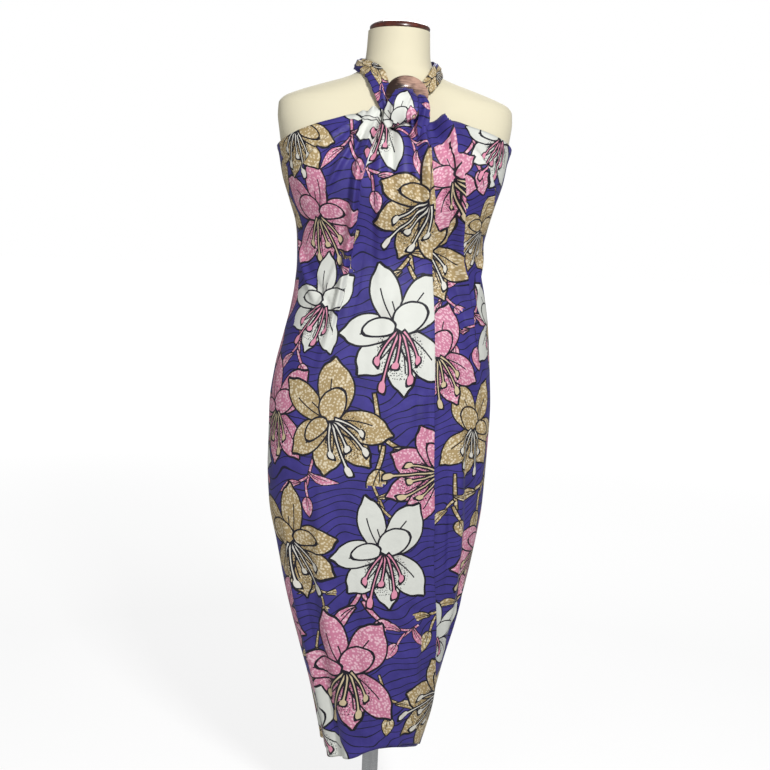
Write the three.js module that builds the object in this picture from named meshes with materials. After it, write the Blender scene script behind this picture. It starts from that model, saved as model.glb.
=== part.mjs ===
// A cotton sarong worn as a halter dress on a dress form, in millimetres, +Z up.
// One rectangle of cloth goes round the back and under the arms. Its two top corners are gathered at the
// chest, drawn up over the lower rim of a coconut-shell ring, and tied behind the neck.
// The front of the form faces -Y, and the wearer's right side is on -X. The origin is on the floor, under
// the middle of the stand's base plate.
import * as THREE from "three";

// ---- Driving sizes ------------------------------------------------------------------------------------
const WALL = 1.8; // wall of every cloth panel
const SEAM = 0.3; // gap between pieces that meet
const LAYER = WALL + 1.6; // how far the top layer of the wrap stands off the layer below it
const FORM_BOTTOM = 600;
const FORM_TOP = 1478; // seam under the wooden neck cap
const BASE_RADIUS = 200;
const BASE_HEIGHT = 12;
const POLE_RADIUS = 15;
const CAP_RADIUS = 54;
const CAP_HEIGHT = 19;

const RING_RADIUS = 37;
const RING_HOLE = 12.5;
const RING_THICKNESS = 6;
const RING_CENTRE = new THREE.Vector3(5.5, -105.2, 1358);
const RING_TILT = THREE.MathUtils.degToRad(25); // the ring leans back with the chest

const DEG = Math.PI / 180;

// Heights of the wrapped cloth, hem to chest, with the outer half-widths on the -X and +X sides, the depth
// in front of the axis and behind it, and how square the section is (2 is an ellipse).
const CLOTH = [
  { z: 150, left: 87, right: 86, front: 94, back: 96, square: 2.1 },
  { z: 250, left: 112, right: 114, front: 101, back: 104, square: 2.1 },
  { z: 350, left: 142, right: 135, front: 108, back: 112, square: 2.1 },
  { z: 450, left: 170, right: 161, front: 115, back: 121, square: 2.15 },
  { z: 550, left: 192, right: 180, front: 122, back: 130, square: 2.2 },
  { z: 620, left: 207, right: 190, front: 127, back: 137, square: 2.2 },
  { z: 700, left: 212, right: 194, front: 132, back: 145, square: 2.2 },
  { z: 800, left: 212, right: 197, front: 136, back: 147, square: 2.2 },
  { z: 870, left: 204, right: 193, front: 136, back: 143, square: 2.2 },
  { z: 931, left: 190, right: 188, front: 131, back: 129, square: 2.2 },
  { z: 975, left: 180, right: 183, front: 126, back: 117, square: 2.2 },
  { z: 1019, left: 173, right: 175, front: 122, back: 108, square: 2.2 },
  { z: 1063, left: 170, right: 167, front: 120, back: 102, square: 2.25 },
  { z: 1100, left: 171, right: 169, front: 127, back: 105, square: 2.3 },
  { z: 1129, left: 174, right: 174, front: 139, back: 108, square: 2.35 },
  { z: 1172, left: 187, right: 185, front: 155, back: 113, square: 2.4 },
  { z: 1215, left: 201, right: 198, front: 158, back: 116, square: 2.45 },
  { z: 1250, left: 208, right: 205, front: 148, back: 115, square: 2.4 },
  { z: 1269, left: 212, right: 211, front: 138, back: 114, square: 2.35 },
  { z: 1300, left: 215, right: 215, front: 119, back: 110, square: 2.3 },
  { z: 1345, left: 218, right: 218, front: 93, back: 102, square: 2.3 },
];

// The dress form, bottom plate to neck, in the same columns. It is the same on both sides.
const FORM = [
  { z: 600, half: 178, front: 115, back: 122, square: 2.2 },
  { z: 660, half: 184, front: 122, back: 132, square: 2.2 },
  { z: 730, half: 187, front: 127, back: 138, square: 2.2 },
  { z: 800, half: 188, front: 130, back: 140, square: 2.2 },
  { z: 864, half: 184, front: 129, back: 136, square: 2.2 },
  { z: 931, half: 177, front: 124, back: 122, square: 2.2 },
  { z: 975, half: 171, front: 120, back: 110, square: 2.2 },
  { z: 1019, half: 165, front: 116, back: 101, square: 2.2 },
  { z: 1063, half: 161, front: 114, back: 95, square: 2.25 },
  { z: 1100, half: 163, front: 120, back: 98, square: 2.3 },
  { z: 1129, half: 167, front: 132, back: 101, square: 2.35 },
  { z: 1172, half: 178, front: 148, back: 106, square: 2.4 },
  { z: 1215, half: 191, front: 151, back: 109, square: 2.45 },
  { z: 1250, half: 201, front: 141, back: 108, square: 2.4 },
  { z: 1269, half: 205, front: 131, back: 107, square: 2.35 },
  { z: 1300, half: 210, front: 113, back: 104, square: 2.3 },
  { z: 1323, half: 213, front: 99, back: 101, square: 2.3 },
  { z: 1343, half: 212, front: 88, back: 96, square: 2.3 },
  { z: 1354, half: 204, front: 82, back: 94, square: 2.3 },
  { z: 1364, half: 183, front: 78, back: 91, square: 2.25 },
  { z: 1374, half: 155, front: 74, back: 87, square: 2.2 },
  { z: 1383, half: 127, front: 70, back: 83, square: 2.15 },
  { z: 1392, half: 99, front: 67, back: 78, square: 2.1 },
  { z: 1402, half: 77, front: 64, back: 72, square: 2.05 },
  { z: 1415, half: 64, front: 62, back: 65, square: 2 },
  { z: 1435, half: 58, front: 62, back: 57, square: 2 },
  { z: FORM_TOP, half: 55.5, front: 67, back: 46, square: 2 },
];

// Where the front edge of the top layer lies, as an angle from the front middle towards +X.
const LEADING_EDGE = [
  { z: 150, angle: 82 },
  { z: 200, angle: 76 },
  { z: 260, angle: 66 },
  { z: 358, angle: 47 },
  { z: 555, angle: 26 },
  { z: 829, angle: 19.5 },
  { z: 1022, angle: 19 },
  { z: 1165, angle: 14 },
  { z: 1223, angle: 10 },
  { z: 1340, angle: 9 },
];

// Where the hidden free edge of the layer below it lies.
const HIDDEN_EDGE = [
  { z: 150, angle: -40 },
  { z: 600, angle: -26 },
  { z: 1000, angle: -18 },
  { z: 1340, angle: -7 },
];

// Heights of the hem and of the top edge, along each panel from its side seam (0) to its free edge (1).
const OVER_EDGES = [
  { t: 0, hem: 152, top: 1268 },
  { t: 0.2, hem: 154, top: 1291 },
  { t: 0.4, hem: 166, top: 1308 },
  { t: 0.6, hem: 186, top: 1319 },
  { t: 0.7, hem: 186, top: 1319 },
  { t: 0.8, hem: 181, top: 1318 },
  { t: 0.9, hem: 171, top: 1317 },
  { t: 1, hem: 160, top: 1314 },
];
const UNDER_EDGES = [
  { t: 0, hem: 162, top: 1274 },
  { t: 0.2, hem: 166, top: 1293 },
  { t: 0.4, hem: 176, top: 1306 },
  { t: 0.6, hem: 182, top: 1316 },
  { t: 0.72, hem: 180, top: 1312 },
  { t: 0.82, hem: 178, top: 1302 },
  { t: 1, hem: 176, top: 1298 },
];
const BACK_EDGES = [
  { t: 0, hem: 162, top: 1272 },
  { t: 0.25, hem: 156, top: 1258 },
  { t: 0.5, hem: 154, top: 1250 },
  { t: 0.75, hem: 152, top: 1254 },
  { t: 1, hem: 152, top: 1268 },
];

// Folds of the top layer. Each runs down from z1 to z3 through three angles, and stands out by height over
// a half-width on each side of its line. They radiate from the gather at the chest, or hang to the hem.
const OVER_FOLDS = [
  { z1: 1330, a1: 6, z2: 1225, a2: 7.5, z3: 1090, a3: 12, height: 9, half: 11 },
  { z1: 1330, a1: -1, z2: 1215, a2: 0, z3: 1040, a3: 6, height: 6, half: 12 },
  { z1: 1330, a1: -5, z2: 1210, a2: -9, z3: 960, a3: -8, height: 6, half: 13 },
  { z1: 1326, a1: -8, z2: 1188, a2: -20, z3: 850, a3: -40, height: 9, half: 15 },
  { z1: 1322, a1: -11, z2: 1230, a2: -27, z3: 1130, a3: -52, height: 5, half: 14 },
  { z1: 1316, a1: -16, z2: 1262, a2: -38, z3: 1190, a3: -66, height: 4, half: 13 },
  { z1: 1050, a1: 2, z2: 800, a2: 6, z3: 420, a3: 10, height: 4, half: 26 },
  { z1: 760, a1: -30, z2: 500, a2: -34, z3: 130, a3: -28, height: 6, half: 26 },
  { z1: 640, a1: -62, z2: 400, a2: -60, z3: 130, a3: -58, height: 6, half: 22 },
  { z1: 1120, a1: -84, z2: 1040, a2: -64, z3: 960, a3: -40, height: 4, half: 14 },
];

// Folds of the layer below, on the +X side of the leading edge.
const UNDER_FOLDS = [
  { z1: 1310, a1: 15, z2: 1152, a2: 31, z3: 850, a3: 56, height: 9, half: 15 },
  { z1: 1290, a1: 14, z2: 1180, a2: 21, z3: 1000, a3: 30, height: 6, half: 11 },
  { z1: 1290, a1: 26, z2: 1215, a2: 48, z3: 1120, a3: 74, height: 5, half: 14 },
  { z1: 1110, a1: 84, z2: 1040, a2: 62, z3: 960, a3: 42, height: 4, half: 14 },
  { z1: 900, a1: 34, z2: 640, a2: 40, z3: 260, a3: 66, height: 6, half: 22 },
];

// The cloth pulled up beside the ring bulges over the top edge, with a crease under it.
const PUFF = { angle: 16, z: 1294, halfAngle: 7.5, halfHeight: 24, height: 16 };

// Flutes that hang down the back, where the loose cloth below the hips is taken in.
const BACK_FOLDS = [
  { z1: 900, a1: 112, z2: 500, a2: 116, z3: 130, a3: 118, height: 8, half: 24 },
  { z1: 820, a1: 138, z2: 500, a2: 141, z3: 130, a3: 146, height: 11, half: 24 },
  { z1: 880, a1: 166, z2: 520, a2: 166, z3: 130, a3: 170, height: 12, half: 26 },
  { z1: 860, a1: 192, z2: 500, a2: 194, z3: 130, a3: 196, height: 11, half: 25 },
  { z1: 820, a1: 219, z2: 500, a2: 220, z3: 130, a3: 220, height: 10, half: 24 },
  { z1: 900, a1: 246, z2: 520, a2: 244, z3: 130, a3: 243, height: 8, half: 22 },
  { z1: 1120, a1: 200, z2: 1060, a2: 224, z3: 1000, a3: 250, height: 4, half: 16 },
  { z1: 1130, a1: 160, z2: 1060, a2: 136, z3: 1000, a3: 110, height: 4, half: 16 },
];

// The cloth gathered at the chest. One roll goes over the ring's lower rim and down into its hole, and one
// fold goes up beside it on the +X side, in front of the rim, and ends at the hole.
const KNOT_ROLL = [
  { x: -6, y: -130, z: 1305, wide: 60, thick: 10 },
  { x: -8, y: -138, z: 1314, wide: 64, thick: 25 },
  { x: -7, y: -141, z: 1330, wide: 64, thick: 31 },
  { x: -3, y: -138, z: 1344, wide: 58, thick: 31 },
  { x: 1, y: -130, z: 1355, wide: 46, thick: 24 },
  { x: 4, y: -117, z: 1361, wide: 24, thick: 15 },
  { x: 5.5, y: -105, z: 1357, wide: 18, thick: 12 },
];
const SIDE_FOLD = [
  { x: 32, y: -131, z: 1306, wide: 16, thick: 8 },
  { x: 34, y: -136, z: 1318, wide: 20, thick: 20 },
  { x: 35, y: -133, z: 1333, wide: 19, thick: 21 },
  { x: 32, y: -126, z: 1346, wide: 16, thick: 16 },
  { x: 25, y: -119, z: 1354, wide: 9, thick: 8 },
];

// The gathered corners round the neck, from behind the ring to the knot at the nape. The first rows are
// different on the two sides of the ring, and the rest is mirrored.
const STRAP_ROUND_NECK = [
  { x: 71, y: -24, z: 1415, wide: 30, thick: 9 },
  { x: 72.5, y: 8, z: 1421, wide: 27, thick: 9.5 },
  { x: 65, y: 39, z: 1425, wide: 26, thick: 10 },
  { x: 47, y: 61, z: 1428, wide: 23, thick: 10 },
  { x: 23.5, y: 75.5, z: 1429, wide: 18, thick: 11 },
];
const STRAP_START_RIGHT = [
  { x: 24, y: -100.6, z: 1332, wide: 18, thick: 8 },
  { x: 32, y: -97.6, z: 1350, wide: 27, thick: 10 },
  { x: 37, y: -89, z: 1369, wide: 34, thick: 11 },
  { x: 46, y: -76, z: 1389, wide: 37, thick: 11 },
  { x: 57.5, y: -54.5, z: 1403.5, wide: 34, thick: 10 },
];
const STRAP_START_LEFT = [
  { x: 24, y: -97, z: 1354, wide: 18, thick: 9 },
  { x: 38, y: -90.6, z: 1368, wide: 28, thick: 9.5 },
  { x: 51, y: -80, z: 1385, wide: 33, thick: 11 },
  { x: 62.5, y: -56, z: 1402, wide: 33, thick: 10 },
];
const NAPE_KNOT = { x: 0, y: 76.5, z: 1429, wide: 44, thick: 29, tall: 34 };
const TAIL = [
  { x: 7, y: 78, z: 1411.6, wide: 12, thick: 7 },
  { x: 14, y: 85, z: 1392, wide: 24, thick: 5 },
  { x: 21, y: 95, z: 1366, wide: 34, thick: 4 },
  { x: 28, y: 102, z: 1336, wide: 42, thick: 3.4 },
  { x: 35, y: 106, z: 1306, wide: 50, thick: 3 },
];

// ---- Curves through short tables ----------------------------------------------------------------------
// A smooth curve through a column of a table that never swings past its own points.
function curve(rows, key, column) {
  const x = rows.map((row) => row[key]);
  const y = rows.map((row) => row[column]);
  const slope = x.slice(1).map((next, i) => (y[i + 1] - y[i]) / (next - x[i]));
  const tangent = x.map((_, i) => {
    if (i === 0) return slope[0];
    if (i === x.length - 1) return slope[i - 1];
    return slope[i - 1] * slope[i] <= 0 ? 0 : (2 * slope[i - 1] * slope[i]) / (slope[i - 1] + slope[i]);
  });
  return (at) => {
    if (at <= x[0]) return y[0];
    if (at >= x[x.length - 1]) return y[y.length - 1];
    const i = x.findIndex((_, k) => at < x[k + 1]);
    const step = x[i + 1] - x[i];
    const u = (at - x[i]) / step;
    return (
      y[i] * (1 + 2 * u) * (1 - u) ** 2 +
      tangent[i] * step * u * (1 - u) ** 2 +
      y[i + 1] * u * u * (3 - 2 * u) +
      tangent[i + 1] * step * u * u * (u - 1)
    );
  };
}

function smooth(low, high, value) {
  const u = THREE.MathUtils.clamp((value - low) / (high - low), 0, 1);
  return u * u * (3 - 2 * u);
}

// ---- Sections of the body -----------------------------------------------------------------------------
// A section as four curves over height. An angle is measured from the front middle (-Y) towards +X.
function sections(rows, leftColumn, rightColumn) {
  const left = curve(rows, "z", leftColumn);
  const right = curve(rows, "z", rightColumn);
  const front = curve(rows, "z", "front");
  const back = curve(rows, "z", "back");
  const square = curve(rows, "z", "square");
  return (degrees, z) => {
    const s = Math.sin(degrees * DEG);
    const c = Math.cos(degrees * DEG);
    const power = 2 / square(z);
    const x = Math.sign(s) * Math.abs(s) ** power * (s > 0 ? right(z) : left(z));
    const y = -Math.sign(c) * Math.abs(c) ** power * (c > 0 ? front(z) : back(z));
    return new THREE.Vector3(x, y, z);
  };
}

const clothSection = sections(CLOTH, "left", "right");
const formSection = sections(FORM, "half", "half");

// The outward normal of a surface given by angle and height.
function outward(surface, degrees, z) {
  const across = surface(degrees + 1, z).sub(surface(degrees - 1, z));
  const up = surface(degrees, z + 2).sub(surface(degrees, z - 2));
  return across.cross(up).normalize();
}

// About how far one degree goes along the cloth at a height.
const left = curve(CLOTH, "z", "left");
const front = curve(CLOTH, "z", "front");
const perDegree = (z) => ((left(z) + front(z)) / 2) * DEG;

// ---- Folds --------------------------------------------------------------------------------------------
// How far one fold stands out at a place. It swells from its top end and dies away at its lower end.
function foldHeight(fold, degrees, z) {
  if (z > fold.z1 + 20 || z < fold.z3) return 0;
  const path = curve(
    [
      { z: fold.z3, a: fold.a3 },
      { z: fold.z2, a: fold.a2 },
      { z: fold.z1, a: fold.a1 },
    ],
    "z",
    "a",
  );
  const away = ((degrees - path(z)) * perDegree(z)) / fold.half;
  if (Math.abs(away) > 1) return 0;
  const hangs = fold.z3 < 150; // a fold that reaches the hem keeps its height there
  const startsAtKnot = fold.z1 > 1300;
  const swell = startsAtKnot ? 1 : smooth(fold.z1, fold.z1 - 0.35 * (fold.z1 - fold.z3), z);
  const fade = hangs ? 1 : smooth(fold.z3, fold.z3 + 0.5 * (fold.z1 - fold.z3), z);
  return fold.height * swell * fade * Math.cos((away * Math.PI) / 2) ** 2;
}

const foldsHeight = (folds, degrees, z) =>
  folds.reduce((sum, fold) => sum + foldHeight(fold, degrees, z), 0);

function puffHeight(degrees, z) {
  const a = (degrees - PUFF.angle) / PUFF.halfAngle;
  const h = (z - PUFF.z) / PUFF.halfHeight;
  return PUFF.height * Math.exp(-(a * a) - h * h);
}

// ---- Panels of the wrap -------------------------------------------------------------------------------
const leadingEdge = curve(LEADING_EDGE, "z", "angle");
const hiddenEdge = curve(HIDDEN_EDGE, "z", "angle");
// Near the chest the cloth's threads crowd towards its free edge, where they are gathered.
const crowding = (z) => THREE.MathUtils.lerp(1, 0.6, smooth(850, 1330, z));
const seamAngle = (z) => SEAM / 2 / perDegree(z);

const RIGHT_SEAM = -90; // angle of the joint under the wearer's right arm
const LEFT_SEAM = 90;
const LIFT = { from: 26, to: 5 }; // degrees before the hidden edge over which the top layer rises
const EASE = { from: 1, to: 10 }; // degrees from a seam or an edge over which folds grow to full height

// How far the top layer stands off: nothing where it is the only layer, and a full layer over the one below.
const overLift = (degrees, z) =>
  LAYER * smooth(hiddenEdge(z) - LIFT.from, hiddenEdge(z) - LIFT.to, degrees);
const easeFrom = (edge, degrees) => smooth(EASE.from, EASE.to, Math.abs(degrees - edge));

const overPanel = {
  edges: OVER_EDGES,
  angle: (t, z) => {
    const from = RIGHT_SEAM + seamAngle(z);
    return from + (leadingEdge(z) - from) * t ** crowding(z);
  },
  stand: (degrees, z) =>
    overLift(degrees, z) + foldsHeight(OVER_FOLDS, degrees, z) * easeFrom(RIGHT_SEAM, degrees),
};

const underPanel = {
  edges: UNDER_EDGES,
  angle: (t, z) => {
    const from = LEFT_SEAM - seamAngle(z);
    return from + (hiddenEdge(z) - from) * t ** crowding(z);
  },
  stand: (degrees, z) => {
    // it lies flat under the top layer, and its folds start where it comes out from under it
    const covered = degrees < leadingEdge(z) ? 0 : smooth(0.5, 5, degrees - leadingEdge(z));
    const relief = foldsHeight(UNDER_FOLDS, degrees, z) + puffHeight(degrees, z);
    return relief * covered * easeFrom(LEFT_SEAM, degrees);
  },
};

const backPanel = {
  edges: BACK_EDGES,
  angle: (t, z) =>
    THREE.MathUtils.lerp(LEFT_SEAM + seamAngle(z), 360 + RIGHT_SEAM - seamAngle(z), t),
  stand: (degrees, z) =>
    foldsHeight(BACK_FOLDS, degrees, z) *
    easeFrom(LEFT_SEAM, degrees) *
    easeFrom(360 + RIGHT_SEAM, degrees),
};

// One place on a panel: its outer point and the point under it on the inner face.
function panelPoint(panel, t, v) {
  const z = THREE.MathUtils.lerp(curve(panel.edges, "t", "hem")(t), curve(panel.edges, "t", "top")(t), v);
  const degrees = panel.angle(t, z);
  const base = clothSection(degrees, z);
  const normal = outward(clothSection, degrees, z);
  const stand = panel.stand(degrees, z);
  return {
    outer: base.clone().addScaledVector(normal, stand),
    inner: base.clone().addScaledVector(normal, stand - WALL),
  };
}

// Rows of points up a panel, by how many lie below the knees, up to the waist and over the chest.
function rowHeights(knees, waist, chest) {
  const rows = [];
  for (const { from, to, count } of [
    { from: 0, to: 0.2, count: knees },
    { from: 0.2, to: 0.7, count: waist },
    { from: 0.7, to: 1, count: chest },
  ]) {
    for (let i = 0; i < count; i++) rows.push(from + ((to - from) * i) / count);
  }
  return [...rows, 1];
}

function panelGeometry(panel, columns, rows) {
  const outer = [];
  const inner = [];
  for (const v of rows) {
    const line = Array.from({ length: columns + 1 }, (_, j) => panelPoint(panel, j / columns, v));
    outer.push(line.map((point) => point.outer));
    inner.push(line.map((point) => point.inner));
  }
  return wall(outer, inner);
}

// ---- Closed surfaces ----------------------------------------------------------------------------------
function solid(points, faces) {
  const geometry = new THREE.BufferGeometry().setFromPoints(points).setIndex(faces.flat());
  // a mesh that came out facing inwards is turned round, by the sign of its volume
  const volume = faces.reduce(
    (sum, [a, b, c]) => sum + points[a].dot(points[b].clone().cross(points[c])),
    0,
  );
  if (volume < 0) geometry.setIndex(faces.map(([a, b, c]) => [a, c, b]).flat());
  geometry.computeVertexNormals();
  return geometry;
}

// A wall between two grids of points, closed round its border.
function wall(outer, inner) {
  const rows = outer.length;
  const columns = outer[0].length;
  const points = [...outer.flat(), ...inner.flat()];
  const front = (i, j) => i * columns + j;
  const back = (i, j) => rows * columns + front(i, j);
  const faces = [];
  const quad = (a, b, c, d) => faces.push([a, b, c], [a, c, d]);
  for (let i = 0; i + 1 < rows; i++) {
    for (let j = 0; j + 1 < columns; j++) {
      quad(front(i, j), front(i, j + 1), front(i + 1, j + 1), front(i + 1, j));
      quad(back(i, j), back(i + 1, j), back(i + 1, j + 1), back(i, j + 1));
    }
    quad(front(i, 0), front(i + 1, 0), back(i + 1, 0), back(i, 0));
    quad(front(i, columns - 1), back(i, columns - 1), back(i + 1, columns - 1), front(i + 1, columns - 1));
  }
  for (let j = 0; j + 1 < columns; j++) {
    quad(front(0, j), back(0, j), back(0, j + 1), front(0, j + 1));
    quad(front(rows - 1, j), front(rows - 1, j + 1), back(rows - 1, j + 1), back(rows - 1, j));
  }
  return solid(points, faces);
}

// A closed body through rings of points, with flat ends.
function loft(rings) {
  const sides = rings[0].length;
  const points = rings.flat();
  const faces = [];
  for (let i = 0; i + 1 < rings.length; i++) {
    for (let j = 0; j < sides; j++) {
      const k = (j + 1) % sides;
      const a = i * sides;
      faces.push([a + j, a + k, a + sides + k], [a + j, a + sides + k, a + sides + j]);
    }
  }
  for (const [ring, first, turn] of [
    [rings[0], 0, 1],
    [rings[rings.length - 1], (rings.length - 1) * sides, 0],
  ]) {
    const middle = points.length;
    points.push(ring.reduce((sum, point) => sum.add(point), new THREE.Vector3()).divideScalar(sides));
    for (let j = 0; j < sides; j++) {
      const k = (j + 1) % sides;
      faces.push(turn ? [middle, first + k, first + j] : [middle, first + j, first + k]);
    }
  }
  return solid(points, faces);
}

// ---- Gathered cloth -----------------------------------------------------------------------------------
const PLEAT_PHASE = 1.1; // radians, so that no pleat lies exactly on a band's edge

// Cloth drawn together into a flattened band, through the centres and sizes of a table, with pleats along
// it. Its face is turned up by the height below, and lean says how far it turns with the round of the body.
function gatheredBand(table, { sides, steps, pleats, depth, below, lean }) {
  const middle = new THREE.CatmullRomCurve3(table.map((row) => new THREE.Vector3(row.x, row.y, row.z)));
  const place = table.map((row, i) => ({ at: i / (table.length - 1), wide: row.wide, thick: row.thick }));
  const wide = curve(place, "at", "wide");
  const thick = curve(place, "at", "thick");
  const rings = [];
  for (let i = 0; i <= steps; i++) {
    const at = i / steps;
    const centre = middle.getPoint(at);
    const along = middle.getTangent(at);
    const out = new THREE.Vector3(centre.x * lean, centre.y, below).normalize();
    const across = new THREE.Vector3().crossVectors(along, out).normalize();
    out.crossVectors(across, along).normalize();
    const ring = [];
    for (let j = 0; j < sides; j++) {
      const turn = (j / sides) * 2 * Math.PI;
      const pleat = 1 - depth * (0.5 - 0.5 * Math.cos(pleats * turn + PLEAT_PHASE));
      ring.push(
        centre
          .clone()
          .addScaledVector(across, (wide(at) / 2) * Math.cos(turn) * pleat)
          .addScaledVector(out, (thick(at) / 2) * Math.sin(turn) * pleat),
      );
    }
    rings.push(ring);
  }
  return loft(rings);
}

const mirrored = (table) => table.map((row) => ({ ...row, x: -row.x }));

function napeKnot() {
  const rings = [];
  const steps = 10;
  const sides = 16;
  for (let i = 1; i < steps; i++) {
    const up = -Math.cos((i / steps) * Math.PI);
    const girth = Math.sin((i / steps) * Math.PI) ** 0.8;
    const ring = [];
    for (let j = 0; j < sides; j++) {
      const turn = (j / sides) * 2 * Math.PI;
      const lobe = 1 + 0.07 * Math.cos(4 * turn) * Math.cos(2 * up);
      ring.push(
        new THREE.Vector3(
          NAPE_KNOT.x + (NAPE_KNOT.wide / 2) * girth * lobe * Math.cos(turn),
          NAPE_KNOT.y + (NAPE_KNOT.thick / 2) * girth * lobe * Math.sin(turn),
          NAPE_KNOT.z + (NAPE_KNOT.tall / 2) * up,
        ),
      );
    }
    rings.push(ring);
  }
  return loft(rings);
}

// ---- Ring, form and stand -----------------------------------------------------------------------------
// A flat coconut-shell ring, domed on its front face.
function ringGeometry() {
  const steps = 6;
  const profile = [];
  for (let i = 0; i <= steps; i++) {
    const u = i / steps;
    const dome = Math.sin(Math.PI * (0.12 + 0.76 * u));
    const radius = THREE.MathUtils.lerp(RING_HOLE, RING_RADIUS, u);
    profile.push(new THREE.Vector2(radius, (RING_THICKNESS / 2) * dome));
  }
  profile.push(new THREE.Vector2(RING_RADIUS, -RING_THICKNESS / 2));
  profile.push(new THREE.Vector2(RING_HOLE, -RING_THICKNESS / 2));
  profile.push(profile[0].clone());
  return new THREE.LatheGeometry(profile.reverse(), 32);
}

function formGeometry() {
  const sides = 36;
  const heights = FORM.map((row) => row.z);
  return loft(
    heights.map((z) => Array.from({ length: sides }, (_, j) => formSection((360 * j) / sides, z))),
  );
}

function capGeometry() {
  const profile = [
    [0, 0],
    [CAP_RADIUS - 4, 0],
    [CAP_RADIUS, 2],
    [CAP_RADIUS, 6],
    [CAP_RADIUS * 0.9, 11],
    [CAP_RADIUS * 0.7, 15],
    [CAP_RADIUS * 0.4, 18],
    [0, CAP_HEIGHT],
  ].map(([r, h]) => new THREE.Vector2(r, h));
  return new THREE.LatheGeometry(profile, 36);
}

function baseGeometry() {
  const profile = [
    [0, 0],
    [BASE_RADIUS - 1, 0],
    [BASE_RADIUS, 1],
    [BASE_RADIUS, 7],
    [BASE_RADIUS - 6, BASE_HEIGHT - 1],
    [BASE_RADIUS - 20, BASE_HEIGHT],
    [0, BASE_HEIGHT],
  ].map(([r, h]) => new THREE.Vector2(r, h));
  return new THREE.LatheGeometry(profile, 40);
}

// ---- Materials ----------------------------------------------------------------------------------------
function material(color, roughness, metalness) {
  return new THREE.MeshStandardMaterial({ color, roughness, metalness });
}
const printedCotton = material("#4a449a", 0.62, 0);
const coconutShell = material("#5a3a26", 0.35, 0);
const formJersey = material("#ece6cb", 0.9, 0);
const stainedWood = material("#5b2a1c", 0.3, 0);
const satinSteel = material("#b9bbbd", 0.3, 1);
const whitePaint = material("#e6e5e0", 0.45, 0);

// ---- Assembly -----------------------------------------------------------------------------------------
const sarongOnForm = new THREE.Group();

function add(name, geometry, finish, place = new THREE.Vector3()) {
  const mesh = new THREE.Mesh(geometry, finish);
  mesh.name = name;
  mesh.position.copy(place);
  sarongOnForm.add(mesh);
  return mesh;
}

add("wrap_front_over", panelGeometry(overPanel, 30, rowHeights(7, 9, 16)), printedCotton);
add("wrap_front_under", panelGeometry(underPanel, 19, rowHeights(6, 8, 15)), printedCotton);
add("wrap_back", panelGeometry(backPanel, 30, rowHeights(4, 10, 7)), printedCotton);

const gathered = (table, shape) => gatheredBand(table, { pleats: 4, depth: 0.14, lean: 1, ...shape });
add("knot_roll", gathered(KNOT_ROLL, { sides: 18, steps: 18, pleats: 5, below: 60 }), printedCotton);
add("side_fold", gathered(SIDE_FOLD, { sides: 14, steps: 12, below: 60 }), printedCotton);

const strapShape = { sides: 14, steps: 26, below: 52 };
const strapRight = mirrored([...STRAP_START_RIGHT, ...STRAP_ROUND_NECK]);
const strapLeft = [...STRAP_START_LEFT, ...STRAP_ROUND_NECK];
add("strap_wearer_right", gathered(strapRight, strapShape), printedCotton);
add("strap_wearer_left", gathered(strapLeft, strapShape), printedCotton);
add("nape_knot", napeKnot(), printedCotton);

const tailShape = { sides: 12, steps: 10, pleats: 2, depth: 0, below: 30, lean: 0.25 };
add("tail_wearer_right", gathered(mirrored(TAIL), tailShape), printedCotton);
add("tail_wearer_left", gathered(TAIL, tailShape), printedCotton);

const ring = add("shell_ring", ringGeometry(), coconutShell, RING_CENTRE);
ring.rotation.x = Math.PI - RING_TILT; // the domed face, on the lathe's +Y, turned to -Y and a little up
add("form_torso", formGeometry(), formJersey);
const cap = add("neck_cap", capGeometry(), stainedWood, new THREE.Vector3(0, -10.5, FORM_TOP + SEAM));
cap.rotation.x = Math.PI / 2;
const pole = add(
  "stand_pole",
  new THREE.CylinderGeometry(POLE_RADIUS, POLE_RADIUS, FORM_BOTTOM - BASE_HEIGHT - 2 * SEAM, 28),
  satinSteel,
  new THREE.Vector3(0, 0, (FORM_BOTTOM + BASE_HEIGHT) / 2),
);
pole.rotation.x = Math.PI / 2;
const base = add("stand_base", baseGeometry(), whitePaint);
base.rotation.x = Math.PI / 2;

export default sarongOnForm;
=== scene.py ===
"""A printed cotton sarong worn as a halter dress, on a limbless dress form.

Sizes are in millimetres, as the wrap's own tables give them, and become metres where a mesh is made. An
angle round the body is measured in degrees from the front middle (-Y) towards the wearer's left (+X).
"""

import math
from functools import partial

import bpy
import numpy as np
from mathutils import Matrix, Vector


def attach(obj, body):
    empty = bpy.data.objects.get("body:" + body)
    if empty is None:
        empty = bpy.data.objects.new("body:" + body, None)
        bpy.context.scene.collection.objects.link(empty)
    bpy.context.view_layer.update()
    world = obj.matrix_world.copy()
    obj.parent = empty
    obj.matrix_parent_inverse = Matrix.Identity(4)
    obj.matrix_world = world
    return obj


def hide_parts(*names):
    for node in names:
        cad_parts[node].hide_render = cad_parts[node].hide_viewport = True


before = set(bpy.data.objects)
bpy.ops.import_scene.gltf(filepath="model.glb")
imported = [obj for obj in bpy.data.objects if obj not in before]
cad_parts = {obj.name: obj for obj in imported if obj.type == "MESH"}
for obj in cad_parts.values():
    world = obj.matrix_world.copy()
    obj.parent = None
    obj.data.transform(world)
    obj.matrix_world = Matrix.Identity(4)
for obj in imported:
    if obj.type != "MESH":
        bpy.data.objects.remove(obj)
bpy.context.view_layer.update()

MM = 0.001
DEG = math.pi / 180

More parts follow.
